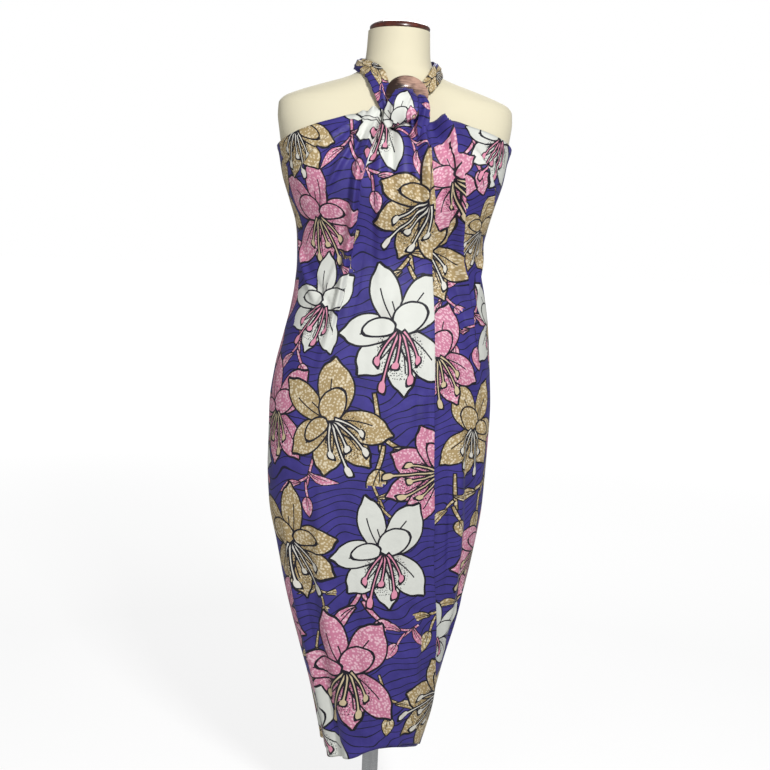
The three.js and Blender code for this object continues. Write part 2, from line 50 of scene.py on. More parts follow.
# ---- Driving sizes ----
SEAM = 0.3  # gap between pieces that meet
LAYER = 3.4  # how far the top layer of the wrap stands off the layer below it
CLOTH_THICKNESS = 0.9  # drawn a little thicker than the real 0.4, so that an edge shows
FOLD_DEPTH = 1.8  # on every fold's height
DEEPEST = -3.5  # no trough sinks further, so that the form stays clear
HEM_WIDTH = 9  # rolled hem along every free edge
HEM_RISE = 0.8
TAKEN_UP = 1.02  # on a panel's height and area, for what its folds take up
GROUND_UNIT = 100  # millimetres of cloth in one unit of the ground pattern

RING_CENTRE = Vector((5.5, -105.2, 1358))
RING_RADIUS = 37
RING_HOLE = 12.5
RING_THICKNESS = 6
RING_TILT = 25  # degrees, leaning back with the chest

WORLD_LIGHT = 0.24  # strength of the white surround and of the floor's glow as light, not as they are seen
FLOOR_LIGHT = 0.2

FORM_BOTTOM = 600
FORM_TOP = 1478
CAP_CENTRE_Y = -10.5
BASE_HEIGHT = 12


def rows(columns, *lines):
    """A table: the column names, then one tuple for each row."""
    return [dict(zip(columns.split(), line)) for line in lines]


# Heights of the wrapped cloth, with the outer half-widths on the -X and +X sides, the depths in front of the
# axis and behind it, and how square the section is (2 is an ellipse).
CLOTH = rows(
    "z left right front back square",
    (150, 87, 86, 94, 96, 2.1),
    (250, 112, 114, 101, 104, 2.1),
    (350, 142, 135, 108, 112, 2.1),
    (450, 170, 161, 115, 121, 2.15),
    (550, 192, 180, 122, 130, 2.2),
    (620, 207, 190, 127, 137, 2.2),
    (700, 212, 194, 132, 145, 2.2),
    (800, 212, 197, 136, 147, 2.2),
    (870, 204, 193, 136, 143, 2.2),
    (931, 190, 188, 131, 129, 2.2),
    (975, 180, 183, 126, 117, 2.2),
    (1019, 173, 175, 122, 108, 2.2),
    (1063, 170, 167, 120, 102, 2.25),
    (1100, 171, 169, 127, 105, 2.3),
    (1129, 174, 174, 139, 108, 2.35),
    (1172, 187, 185, 155, 113, 2.4),
    (1215, 201, 198, 158, 116, 2.45),
    (1250, 208, 205, 148, 115, 2.4),
    (1269, 212, 211, 138, 114, 2.35),
    (1300, 215, 215, 119, 110, 2.3),
    (1345, 218, 218, 93, 102, 2.3),
)

# The dress form, bottom plate to neck. It is the same on both sides.
FORM = rows(
    "z half front back square",
    (600, 178, 115, 122, 2.2),
    (660, 184, 122, 132, 2.2),
    (730, 187, 127, 138, 2.2),
    (800, 188, 130, 140, 2.2),
    (864, 184, 129, 136, 2.2),
    (931, 177, 124, 122, 2.2),
    (975, 171, 120, 110, 2.2),
    (1019, 165, 116, 101, 2.2),
    (1063, 161, 114, 95, 2.25),
    (1100, 163, 120, 98, 2.3),
    (1129, 167, 132, 101, 2.35),
    (1172, 178, 148, 106, 2.4),
    (1215, 191, 151, 109, 2.45),
    (1250, 201, 141, 108, 2.4),
    (1269, 205, 131, 107, 2.35),
    (1300, 210, 113, 104, 2.3),
    (1323, 213, 99, 101, 2.3),
    (1343, 212, 88, 96, 2.3),
    (1354, 204, 82, 94, 2.3),
    (1364, 183, 78, 91, 2.25),
    (1374, 155, 74, 87, 2.2),
    (1383, 127, 70, 83, 2.15),
    (1392, 99, 67, 78, 2.1),
    (1402, 77, 64, 72, 2.05),
    (1415, 64, 62, 65, 2),
    (1435, 58, 62, 57, 2),
    (FORM_TOP, 55.5, 67, 46, 2),
)

LEADING_EDGE = rows(
    "z angle",
    (150, 82), (200, 76), (260, 66), (358, 47), (555, 26), (829, 19.5), (1022, 19), (1165, 14), (1223, 10),
    (1340, 9),
)
HIDDEN_EDGE = rows("z angle", (150, -40), (600, -26), (1000, -18), (1340, -7))

# Heights of the hem and the top edge, along each panel from its side seam (0) to its free edge (1).
OVER_EDGES = rows(
    "t hem top",
    (0, 152, 1268), (0.2, 154, 1291), (0.4, 166, 1308), (0.6, 186, 1319), (0.7, 186, 1319), (0.8, 181, 1318),
    (0.9, 171, 1317), (1, 160, 1314),
)
UNDER_EDGES = rows(
    "t hem top",
    (0, 162, 1274), (0.2, 166, 1293), (0.4, 176, 1306), (0.6, 182, 1313), (0.72, 180, 1311),
    (0.82, 178, 1303), (1, 176, 1298),
)
BACK_EDGES = rows(
    "t hem top", (0, 162, 1272), (0.25, 156, 1258), (0.5, 154, 1250), (0.75, 152, 1254), (1, 152, 1268)
)

# Folds run down from z1 to z3 through three angles. Each stands out by its height over a half-width, or sinks
# where its height is negative. Its +angle side is steeper by the factor sharp, and tuck is the width of cloth
# that it hides, where the print skips.
FOLD = "z1 a1 z2 a2 z3 a3 height half sharp tuck"
OVER_FOLDS = rows(
    FOLD,
    (1330, 6, 1225, 7.5, 1090, 12, 9, 11, 0.6, 0),
    (1330, -1, 1215, 0, 1040, 6, 6, 12, 1, 0),
    (1330, -5, 1210, -9, 960, -8, 6, 13, 1, 0),
    (1326, -8, 1188, -20, 850, -40, 11, 15, 0.35, 26),
    (1322, -11, 1230, -27, 1130, -52, 6, 14, 0.5, 0),
    (1316, -16, 1262, -38, 1190, -66, 5, 13, 0.6, 0),
    (1050, 2, 800, 6, 420, 10, 4, 26, 1, 0),
    (760, -30, 500, -34, 130, -28, 6, 26, 1, 0),
    (640, -62, 400, -60, 130, -58, 6, 22, 1, 0),
    (1120, -84, 1040, -64, 960, -40, 4, 14, 1, 0),
    # lesser creases
    (1328, 3, 1240, 3.5, 1150, 5, -3, 7, 1, 0),
    (1322, -3, 1262, -4.5, 1170, -4, -3, 7, 1, 0),
    (1318, -9, 1270, -14, 1205, -19, -3, 7, 1, 0),
    (1318, -12, 1285, -22, 1250, -32, 2.5, 6, 1, 0),
    (1312, -18, 1285, -32, 1262, -46, -2, 8, 1, 0),
    (1160, -14, 1050, -22, 900, -26, -2.5, 12, 1, 0),
    (1100, -30, 1000, -44, 880, -60, 2.5, 12, 0.7, 0),
    (1060, -62, 1010, -46, 960, -30, -2, 9, 1, 0),
    (1085, -2, 940, -4, 780, -7, 2.2, 13, 1, 0),
    (960, -12, 820, -16, 640, -19, -2, 14, 1, 0),
    (900, 12, 760, 14, 560, 19, 2.5, 12, 1, 0),
    (640, 4, 460, 3, 300, 6, -2.2, 14, 1, 0),
    (560, -12, 400, -10, 240, -14, 2.4, 14, 1, 0),
    (470, 20, 360, 26, 250, 36, 2.6, 13, 1, 0),
    (430, -44, 300, -46, 130, -43, -3, 12, 1, 0),
    (380, -14, 260, -12, 130, -10, -2.4, 13, 1, 0),
    (320, 14, 240, 18, 130, 22, 2.6, 13, 1, 0),
)
UNDER_FOLDS = rows(
    FOLD,
    (1310, 15, 1152, 31, 850, 56, 11, 15, 0.35, 24),
    (1301, 9, 1262, 17, 1236, 34, -6, 7, 1, 0),
    (1290, 14, 1180, 21, 1000, 30, 7, 11, 0.6, 0),
    (1290, 26, 1215, 48, 1120, 74, 6, 14, 0.6, 0),
    (1110, 84, 1040, 62, 960, 42, 4, 14, 1, 0),
    (900, 34, 640, 40, 260, 66, 6, 22, 1, 0),
    (1268, 20, 1225, 30, 1180, 42, -3.4, 9, 1, 0),
    (1300, 34, 1262, 48, 1215, 66, -2, 9, 1, 0),
    (1200, 18, 1120, 24, 1020, 28, -2.5, 8, 1, 0),
    (1090, 30, 1020, 46, 940, 66, 2.4, 11, 1, 0),
    (900, 60, 760, 58, 600, 62, -2.4, 14, 1, 0),
    (700, 32, 560, 38, 430, 48, -2, 11, 1, 0),
    (520, 62, 400, 70, 280, 80, 2.4, 12, 1, 0),
)
BACK_FOLDS = rows(
    FOLD,
    (900, 112, 500, 116, 130, 118, 8, 24, 1, 0),
    (820, 138, 500, 141, 130, 146, 11, 24, 1, 0),
    (880, 166, 520, 166, 130, 170, 12, 26, 1, 0),
    (860, 192, 500, 194, 130, 196, 11, 25, 1, 0),
    (820, 219, 500, 220, 130, 220, 10, 24, 1, 0),
    (900, 246, 520, 244, 130, 243, 8, 22, 1, 0),
    (1120, 200, 1060, 224, 1000, 250, 4, 16, 1, 0),
    (1130, 160, 1060, 136, 1000, 110, 4, 16, 1, 0),
    (1100, 182, 1045, 200, 985, 222, -2.4, 10, 1, 0),
    (1090, 176, 1035, 158, 980, 138, -2.4, 10, 1, 0),
    (1060, 188, 940, 190, 800, 186, 2.4, 13, 1, 0),
    (1245, 120, 1180, 128, 1090, 150, 2.2, 11, 1, 0),
    (1240, 238, 1170, 232, 1080, 212, 2.2, 11, 1, 0),
    (700, 152, 520, 154, 260, 157, -3, 12, 1, 0),
    (680, 206, 500, 207, 280, 208, -3, 12, 1, 0),
    (620, 180, 440, 181, 250, 183, -3, 13, 1, 0),
)
PUFF = {"angle": 18, "z": 1288, "half_angle": 9, "half_height": 24, "height": 19}

# Gathered stretches of the cloth: centres along each, with the width across and the thickness.
BAND = "x y z wide thick"
KNOT_ROLL = rows(
    BAND,
    (-6, -130, 1305, 60, 10),
    (-8, -138, 1314, 64, 25),
    (-7, -141, 1330, 64, 31),
    (-3, -138, 1344, 58, 31),
    (1, -130, 1355, 46, 24),
    (4, -117, 1361, 24, 15),
    (5.5, -105, 1357, 18, 12),
)
SIDE_FOLD = rows(
    BAND,
    (30, -138, 1282, 12, 3),
    (30, -135, 1296, 20, 9),
    (32, -135, 1314, 25, 20),
    (32.5, -132, 1332, 25, 22),
    (30, -126, 1346, 20, 17),
    (24, -119, 1355, 12, 9),
)
STRAP_ROUND_NECK = rows(
    BAND,
    (71, -24, 1415, 30, 9),
    (72.5, 8, 1421, 27, 9.5),
    (65, 39, 1425, 26, 10),
    (47, 61, 1428, 23, 10),
    (23.5, 75.5, 1429, 18, 11),
)
STRAP_START_RIGHT = rows(
    BAND,
    (28, -101.6, 1326, 22, 8),
    (34, -98.6, 1348, 33, 10),
    (39, -90, 1369, 39, 11),
    (47, -77, 1389, 41, 11),
    (58, -55, 1403.5, 36, 10),
)
STRAP_START_LEFT = rows(
    BAND,
    (24, -97, 1354, 18, 9),
    (38, -90.6, 1368, 28, 9.5),
    (51, -80, 1385, 33, 11),
    (62.5, -56, 1402, 33, 10),
)
TAIL = rows(
    BAND,
    (7, 78, 1411.6, 12, 7),
    (14, 85, 1392, 24, 5),
    (21, 95, 1366, 34, 4),
    (28, 102, 1336, 42, 3.4),
    (35, 106, 1306, 50, 3),
)
NAPE_KNOT = {"y": 76.5, "z": 1429, "wide": 44, "thick": 29, "tall": 34}

# Where the print's flowers and leaf sprays lie: the layer of the wrap, the angle and height of the centre,
# the reach in millimetres, the turn in degrees, -1 where it is mirrored, and the colour.
MOTIF = "layer angle z reach turn flip colour"
LILIES = rows(
    MOTIF,
    ("top", -8, 1303, 82, -26, 1, "white"),
    ("top", -56, 1288, 84, -10, -1, "tan"),
    ("top", -49, 1142, 94, 12, -1, "pink"),
    ("top", 10, 1172, 104, -26, 1, "tan"),
    ("top", -43, 988, 88, -20, 1, "white"),
    ("top", 1, 950, 116, 0, 1, "white"),
    ("top", -70, 795, 98, -6, 1, "pink"),
    ("top", -28, 788, 108, 36, 1, "tan"),
    ("top", 24, 700, 104, -70, 1, "pink"),
    ("top", -57, 560, 104, 14, -1, "tan"),
    ("top", -1, 552, 106, 2, 1, "white"),
    ("top", -25, 330, 112, -4, 1, "pink"),
    ("top", 71, 268, 104, -60, 1, "tan"),
    ("top", -74, 205, 92, 10, 1, "white"),
    ("top", -90, 420, 84, -20, -1, "pink"),
    ("low", 13, 1090, 96, 20, 1, "tan"),
    ("low", 21, 1212, 84, 40, -1, "pink"),
    ("low", 57, 1128, 74, -20, 1, "tan"),
    ("low", 54, 1290, 88, -16, 1, "white"),
    ("low", 21, 905, 94, 20, 1, "pink"),
    ("low", 79, 962, 86, 0, -1, "white"),
    ("low", 49, 775, 90, -6, -1, "tan"),
    ("low", 79, 545, 98, -30, 1, "pink"),
    ("low", 44, 385, 74, 0, 1, "white"),
)
SPRAYS = rows(
    MOTIF,
    ("top", -22, 1262, 66, 0, 1, "pink"),
    ("top", -12, 1212, 58, 24, -1, "pink"),
    ("top", 4, 1268, 52, 60, 1, "pink"),
    ("top", -34, 1066, 56, -24, -1, "pink"),
    ("top", -3, 636, 58, 24, 1, "tan"),
    ("top", 14, 402, 54, -50, 1, "pink"),
    ("top", -36, 474, 50, 30, -1, "tan"),
    ("top", 8, 268, 60, 20, -1, "tan"),
    ("low", 36, 634, 62, 6, 1, "tan"),
    ("low", 33, 950, 56, 16, -1, "pink"),
    ("top", 5, 1060, 84, 10, 1, "tan"),
    ("top", -57, 905, 62, 12, 1, "pink"),
    ("top", -3, 745, 96, 10, -1, "tan"),
    ("top", -11, 462, 98, 16, 1, "pink"),
    ("top", -30, 1090, 60, 100, 1, "tan"),
    ("top", -42, 672, 60, -14, 1, "pink"),
    ("top", 36, 430, 66, -30, 1, "tan"),
    ("top", -55, 345, 56, -20, 1, "tan"),
    ("low", 32, 1262, 80, 8, 1, "pink"),
    ("low", 49, 955, 76, -10, 1, "pink"),
    ("low", 64, 655, 84, -24, 1, "tan"),
    ("low", 27, 1010, 60, 30, 1, "pink"),
    ("low", 60, 450, 60, -30, 1, "tan"),
)
BACK_REPEAT = {"columns": (104, 141, 178, 215, 252), "step": 232, "first": 1180, "drop": 116}
BACK_REACH = {"lily": 98, "spray": 76}

OVER_GRID = (190, 215)  # faces along and up a panel
UNDER_GRID = (120, 200)
BACK_GRID = (190, 200)


# ---- Curves, sections and folds ----
def curve(table, column, key="z"):
    """A smooth curve through a column of a table, which never swings past its own points."""
    x = np.array([row[key] for row in table], float)
    y = np.array([row[column] for row in table], float)
    slope = np.diff(y) / np.diff(x)
    tangent = np.concatenate([slope[:1], np.zeros(len(x) - 2), slope[-1:]])
    before, after = slope[:-1], slope[1:]
    same = before * after > 0
    tangent[1:-1][same] = 2 * before[same] * after[same] / (before[same] + after[same])

    def at(value):
        value = np.clip(value, x[0], x[-1])
        i = np.clip(np.searchsorted(x, value, side="right") - 1, 0, len(x) - 2)
        step = x[i + 1] - x[i]
        u = (value - x[i]) / step
        return (
            y[i] * (1 + 2 * u) * (1 - u) ** 2
            + tangent[i] * step * u * (1 - u) ** 2
            + y[i + 1] * u * u * (3 - 2 * u)
            + tangent[i + 1] * step * u * u * (u - 1)
        )

    return at


def smooth(low, high, value):
    u = np.clip((value - low) / (high - low), 0, 1)
    return u * u * (3 - 2 * u)


def sections(table, left_column, right_column):
    """A body as points at any angle and height, from its table of sections."""
    left, right = curve(table, left_column), curve(table, right_column)
    front, back = curve(table, "front"), curve(table, "back")
    square = curve(table, "square")

    def at(degrees, z):
        s, c = np.sin(degrees * DEG), np.cos(degrees * DEG)
        power = 2 / square(z)
        x = np.sign(s) * np.abs(s) ** power * np.where(s > 0, right(z), left(z))
        y = -np.sign(c) * np.abs(c) ** power * np.where(c > 0, front(z), back(z))
        return np.stack(np.broadcast_arrays(x, y, z), -1)

    return at


cloth_section = sections(CLOTH, "left", "right")
form_section = sections(FORM, "half", "half")
half_width, front_depth = curve(CLOTH, "left"), curve(CLOTH, "front")


def per_degree(z):
    """About how far one degree goes along the cloth at a height."""
    return (half_width(z) + front_depth(z)) / 2 * DEG


def outward(section, degrees, z):
    across = section(degrees + 1, z) - section(degrees - 1, z)
    up = section(degrees, z + 2) - section(degrees, z - 2)
    normal = np.cross(across, up)
    return normal / np.linalg.norm(normal, axis=-1, keepdims=True)


def fold_path(fold):
    return curve(rows("z a", *((fold["z" + i], fold["a" + i]) for i in "321")), "a")


def fold_fade(fold, z):
    """1 along a fold's main stretch. A fold from the knot or to the hem keeps its height at that end."""
    span = fold["z1"] - fold["z3"]
    swell = 1 if fold["z1"] > 1300 else smooth(fold["z1"], fold["z1"] - 0.35 * span, z)
    fade = 1 if fold["z3"] < 150 else smooth(fold["z3"], fold["z3"] + 0.5 * span, z)
    return swell * fade * (z < fold["z1"] + 20)


def relief(folds, degrees, z):
    """How far the folds together stand out."""
    total = np.zeros(np.broadcast(degrees, z).shape)
    for fold in folds:
        away = (degrees - fold_path(fold)(z)) * per_degree(z) / fold["half"]
        away = np.where(away > 0, away / fold["sharp"], away)
        shape = np.where(np.abs(away) < 1, np.cos(np.clip(away, -1, 1) * math.pi / 2) ** 2, 0)
        total += FOLD_DEPTH * fold["height"] * fold_fade(fold, z) * shape
    return total


def puff_height(degrees, z):
    a = (degrees - PUFF["angle"]) / PUFF["half_angle"]
    h = (z - PUFF["z"]) / PUFF["half_height"]
    return PUFF["height"] * np.exp(-(a**2) - h**2)


# ---- Lengths round the body, for the print ----
ARC_ANGLES = np.arange(-90, 271, 1.0)
ARC_HEIGHTS = np.arange(140, 1361, 10.0)


def arc_table():
    points = cloth_section(ARC_ANGLES[None, :], ARC_HEIGHTS[:, None])
    steps = np.linalg.norm(np.diff(points, axis=1), axis=-1)
    return np.concatenate([np.zeros((len(ARC_HEIGHTS), 1)), np.cumsum(steps, axis=1)], axis=1)


ARCS = arc_table()


def arc(degrees, z):
    """The length along the section at a height, from the wearer's right side to an angle."""
    a = np.clip((degrees - ARC_ANGLES[0]) / (ARC_ANGLES[1] - ARC_ANGLES[0]), 0, len(ARC_ANGLES) - 1.001)
    h = np.clip((z - ARC_HEIGHTS[0]) / (ARC_HEIGHTS[1] - ARC_HEIGHTS[0]), 0, len(ARC_HEIGHTS) - 1.001)
    i, j = h.astype(int), a.astype(int)
    u, v = h - i, a - j
    low = ARCS[i, j] * (1 - v) + ARCS[i, j + 1] * v
    high = ARCS[i + 1, j] * (1 - v) + ARCS[i + 1, j + 1] * v
    return low * (1 - u) + high * u


def tucked(folds, degrees, z):
    """The width of cloth that the pleats on the way to an angle hide."""
    total = np.zeros(np.broadcast(degrees, z).shape)
    for fold in folds:
        if fold["tuck"]:
            edge = fold_path(fold)(z) + 2
            hidden = fold["tuck"] * fold_fade(fold, z) * (z < fold["z1"])
            total += hidden * smooth(edge - 0.4, edge + 0.4, degrees)
    return total


# ---- Meshes ----
def deselect_all():
    bpy.ops.object.select_all(action="DESELECT")


def take_up(piece):
    """Makes a piece the only selected and active one."""
    deselect_all()
    piece.select_set(True)
    bpy.context.view_layer.objects.active = piece


def new_piece(name, points, faces, material):
    mesh = bpy.data.meshes.new(name)
    mesh.from_pydata((np.asarray(points).reshape(-1, 3) * MM).tolist(), [], np.asarray(faces).tolist())
    piece = bpy.data.objects.new(name, mesh)
    bpy.context.collection.objects.link(piece)
    mesh.materials.append(material)
    mesh.polygons.foreach_set("use_smooth", [True] * len(mesh.polygons))
    return piece


def grid_faces(up, along, flipped=False):
    """Faces of a grid of points, outwards where angles grow along a row."""
    i, j = np.meshgrid(np.arange(up - 1), np.arange(along - 1), indexing="ij")
    a = (i * along + j).ravel()
    corners = np.stack([a, a + 1, a + along + 1, a + along], -1)
    return corners[:, ::-1] if flipped else corners


def finish_shell(piece):
    """Gives the cloth its thickness, inwards."""
    take_up(piece)
    solidify = piece.modifiers.new("thickness", "SOLIDIFY")
    solidify.thickness = CLOTH_THICKNESS * MM
    solidify.offset = -1
    bpy.ops.object.modifier_apply(modifier=solidify.name)


# ---- Laying the print ----
COLOURS = {"none": -1, "white": 0, "tan": 1, "pink": 2}
FAR = 9.0  # a place outside every motif
MOTIF_EDGE = 1.25  # how far from its centre a motif can be drawn, in shares of its reach


def back_motifs():
    """A half-drop repeat of flowers, with a spray between each two, for the back."""
    lilies, sprays = [], []
    names = ("white", "tan", "pink")
    for column, angle in enumerate(BACK_REPEAT["columns"]):
        z = BACK_REPEAT["first"] - (column % 2) * BACK_REPEAT["drop"]
        row = 0
        while z > 130:
            turn = (37 * row + 61 * column) % 80 - 40
            flip = 1 if (row + column) % 2 else -1
            lilies.append(("back", angle, z, BACK_REACH["lily"], turn, flip, names[(row + column) % 3]))
            between = z - BACK_REPEAT["step"] / 2 + 30
            colour = names[(row + column + 1) % 3]
            sprays.append(("back", angle + 4, between, BACK_REACH["spray"], -turn / 2, flip, colour))
            z -= BACK_REPEAT["step"]
            row += 1
    return rows(MOTIF, *lilies), rows(MOTIF, *sprays)


def spread(motif, others):
    """How far the nearest of the others is, with 1 where the two would just touch. The two front layers lie
    one over the other, so their flowers never meet."""
    gaps = [math.inf]
    for other in others:
        if {motif["layer"], other["layer"]} != {"top", "low"}:
            round_body = (motif["angle"] - other["angle"] + 180) % 360 - 180
            away = math.hypot(round_body * per_degree(motif["z"]), motif["z"] - other["z"])
            gaps.append(away / (motif["reach"] + other["reach"]))
    return min(gaps)


def two_sets(motifs):
    """Two sets in which no flowers overlap. The second is drawn over the first."""
    first, second = [], []
    for motif in motifs:
        chosen = first if spread(motif, first) >= spread(motif, second) else second
        chosen.append(motif)
    return first, second


def turned_place(across, up, motif):
    """A place in a motif, with the motif's own turn, side and reach taken out."""
    turn = motif["turn"] * DEG
    x = (across * math.cos(turn) + up * math.sin(turn)) / motif["reach"] * motif["flip"]
    y = (up * math.cos(turn) - across * math.sin(turn)) / motif["reach"]
    return np.stack([x, y], -1)


def motif_places(motifs, degrees, z, faces, folds):
    """For each face corner, its place in the nearest motif, and for each face that motif's colour."""
    girth = arc(np.full_like(z, 270.0), z)
    length = arc(degrees, z) + tucked(folds, degrees, z)
    nearest = np.full(len(faces), MOTIF_EDGE)
    places = np.full(faces.shape + (2,), FAR)
    colours = np.full(len(faces), COLOURS["none"])
    for motif in motifs:
        angle = np.full_like(z, motif["angle"])
        across = length - arc(angle, z) - tucked(folds, angle, z)
        across = (across + girth / 2) % girth - girth / 2
        here = turned_place(across, z - motif["z"], motif)[faces]
        away = np.linalg.norm(here, axis=-1).max(1)
        nearer = away < nearest
        nearest[nearer] = away[nearer]
        places[nearer] = here[nearer]
        colours[nearer] = COLOURS[motif["colour"]]
    return places, colours


def add_map(mesh, name, places):
    layer = mesh.uv_layers.new(name=name)
    layer.data.foreach_set("uv", np.asarray(places, np.float32).ravel())


def add_colours(mesh, name, values):
    attribute = mesh.attributes.new(name, "FLOAT", "FACE")
    attribute.data.foreach_set("value", np.asarray(values, np.float32))


MOTIF_MAPS = ("spray", "lily_under", "lily_over")  # in the order in which they are drawn


def lay_print(piece, degrees, z, faces, layers, folds):
    """Gives a panel's faces their places in the ground pattern, the sprays and the flowers."""
    degrees, z = degrees.ravel(), z.ravel()
    back_lilies, back_sprays = back_motifs()
    length = arc(degrees, z) + tucked(folds, degrees, z)
    if "low" in layers:  # this cloth is reached round the back
        length = length - arc(np.full_like(z, 270.0), z) - tucked(folds, np.full_like(z, 90.0), z)
    add_map(piece.data, "ground", np.stack([length, z], -1)[faces] / GROUND_UNIT)
    for name, motifs in zip(MOTIF_MAPS, (SPRAYS + back_sprays, *two_sets(LILIES + back_lilies))):
        here = [motif for motif in motifs if motif["layer"] in layers]
        places, colours = motif_places(here, degrees, z, faces, folds)
        add_map(piece.data, name, places)
        add_colours(piece.data, name + "_colour", colours)


def lay_plain_print(piece, across, up, motifs):
    """The print on a small piece, from flat coordinates of its face corners. motifs gives one row a map."""
    add_map(piece.data, "ground", np.stack([across, up], -1) / GROUND_UNIT)
    for name in MOTIF_MAPS:
        places, colour = np.full(across.shape + (2,), FAR), "none"
        if name in motifs:
            x, y, reach, turn, flip, colour = motifs[name]
            places = turned_place(across - x, up - y, {"turn": turn, "reach": reach, "flip": flip})
        add_map(piece.data, name, places)
        add_colours(piece.data, name + "_colour", np.full(len(across), COLOURS[colour]))


# ---- Panels of the wrap ----
leading_edge, hidden_edge = curve(LEADING_EDGE, "angle"), curve(HIDDEN_EDGE, "angle")


def crowding(z):
    return 1 - 0.4 * smooth(850, 1330, z)


def seam_angle(z):
    return SEAM / 2 / per_degree(z)


def ease_from(edge, degrees):
    return smooth(1, 10, np.abs(degrees - edge))


def over_angle(t, z):
    start = -90 + seam_angle(z)
    return start + (leading_edge(z) - start) * t ** crowding(z)


def over_stand(degrees, z):
    lift = LAYER * smooth(hidden_edge(z) - 26, hidden_edge(z) - 5, degrees)
    deepest = DEEPEST + (CLOTH_THICKNESS + SEAM - DEEPEST) * lift / LAYER
    return np.maximum(lift + relief(OVER_FOLDS, degrees, z) * ease_from(-90, degrees), deepest)


def under_angle(t, z):
    start = 90 - seam_angle(z)
    return start + (hidden_edge(z) - start) * t ** crowding(z)


def under_stand(degrees, z):
    covered = smooth(0.5, 5, degrees - leading_edge(z))
    raised = (relief(UNDER_FOLDS, degrees, z) + puff_height(degrees, z)) * covered * ease_from(90, degrees)
    return np.maximum(raised, DEEPEST)


def back_angle(t, z):
    return 90 + seam_angle(z) + (180 - 2 * seam_angle(z)) * t


def back_stand(degrees, z):
    return relief(BACK_FOLDS, degrees, z) * ease_from(90, degrees) * ease_from(270, degrees)


def panel(name, angle, stand, edges, grid, layers, folds, free_edge, flipped, material):
    """A stretch of the wrap as a thin sheet on its solid's outer face, with its cut's size and area."""
    along, up = grid
    t, v = np.meshgrid(np.linspace(0, 1, along + 1), np.linspace(0, 1, up + 1))
    hem, top = curve(edges, "hem", "t")(t), curve(edges, "top", "t")(t)
    z = hem + (top - hem) * v
    degrees = angle(t, z)
    to_edge = np.minimum(z - hem, top - z)
    if free_edge:
        to_edge = np.minimum(to_edge, np.abs(degrees - angle(np.ones_like(t), z)) * per_degree(z))
    rolled = HEM_RISE * (1 - smooth(HEM_WIDTH - 2, HEM_WIDTH, to_edge))
    base = cloth_section(degrees, z)
    points = base + outward(cloth_section, degrees, z) * (stand(degrees, z) + rolled)[..., None]
    faces = grid_faces(up + 1, along + 1, flipped)
    piece = new_piece(name, points, faces, material)
    lay_print(piece, degrees, z, faces, layers, folds)
    finish_shell(piece)
    steps = np.linalg.norm(np.diff(base, axis=1), axis=-1)
    area = steps.mean() * along * (top - hem).mean() * MM * MM
    width = steps.sum(1).max() * MM
    length = (top - hem).max() * TAKEN_UP * MM
    return piece, (width, length), float(min(area * TAKEN_UP, width * length))


# ---- Gathered stretches ----
def smooth_path(points, count):
    """A Catmull-Rom curve through a few points, as even steps of its parameter."""
    p = np.vstack([2 * points[0] - points[1], points, 2 * points[-1] - points[-2]])
    at = np.linspace(0, len(points) - 1, count)
    i = np.minimum(at.astype(int), len(points) - 2)
    u = (at - i)[:, None]
    a, b, c, d = p[i], p[i + 1], p[i + 2], p[i + 3]
    return 0.5 * (
        2 * b + (c - a) * u + (2 * a - 5 * b + 4 * c - d) * u**2 + (3 * b - a - 3 * c + d) * u**3
    )


def unit(vectors):
    return vectors / np.linalg.norm(vectors, axis=-1, keepdims=True)


def ring_faces(rings, sides):
    """Faces of a tube of rings, with the row and the column of each corner."""
    i, j = np.meshgrid(np.arange(rings - 1), np.arange(sides), indexing="ij")
    i, j = i.ravel(), j.ravel()
    row = np.stack([i, i, i + 1, i + 1], -1)
    column = np.stack([j, j + 1, j + 1, j], -1)
    return row * sides + column % sides, row, column


def bundle(name, table, shape, motifs, material):
    """Cloth drawn into a flattened band with pleats along it. shape gives the points round and along, the
    pleats and their depth, how far the face is turned up, how it turns with the round of the body, and
    whether its print goes on from the print in front of which it lies, or runs along the band."""
    given = np.array([[row["x"], row["y"], row["z"]] for row in table], float)
    centres = smooth_path(given, shape["steps"] + 1)
    at = np.linspace(0, 1, shape["steps"] + 1)
    places = [dict(row, at=i / (len(table) - 1)) for i, row in enumerate(table)]
    wide, thick = curve(places, "wide", "at")(at), curve(places, "thick", "at")(at)
    along = unit(np.gradient(centres, axis=0))
    out = unit(centres * [shape["lean"], 1, 0] + [0, 0, shape["below"]])
    across = unit(np.cross(along, out))
    out = unit(np.cross(across, along))
    turn = np.arange(shape["sides"]) / shape["sides"] * 2 * math.pi
    swirl = turn[None, :] + shape["twist"] * at[:, None]
    pleat = 1 - shape["depth"] * np.abs(np.sin(shape["pleats"] * swirl / 2 + 1.1)) ** 0.6
    pleat *= 1 - 0.6 * shape["depth"] * (0.5 + 0.5 * np.sin(3 * swirl + 9 * at[:, None]))
    end = 1 - shape["round_ends"] * (smooth(0.06, 0, at) + smooth(0.94, 1, at))
    width = wide[:, None] / 2 * np.cos(turn) * pleat * end[:, None]
    depth = thick[:, None] / 2 * np.sin(turn) * pleat * end[:, None]
    points = centres[:, None] + across[:, None] * width[..., None] + out[:, None] * depth[..., None]
    faces, row, column = ring_faces(shape["steps"] + 1, shape["sides"])
    piece = new_piece(name, points, faces, material)
    if shape["print"] == "goes on":
        corners = points.reshape(-1, 3)[faces]
        lay_plain_print(piece, corners[..., 0], corners[..., 2], motifs)
    else:
        length = np.concatenate([[0], np.cumsum(np.linalg.norm(np.diff(centres, axis=0), axis=-1))])
        round_turn = column / shape["sides"] * 2 * math.pi
        # the folds take in more cloth than the band's width shows
        lay_plain_print(piece, np.cos(round_turn) * wide[row] * 0.75, length[row], motifs)
    close_ends(piece)
    return piece


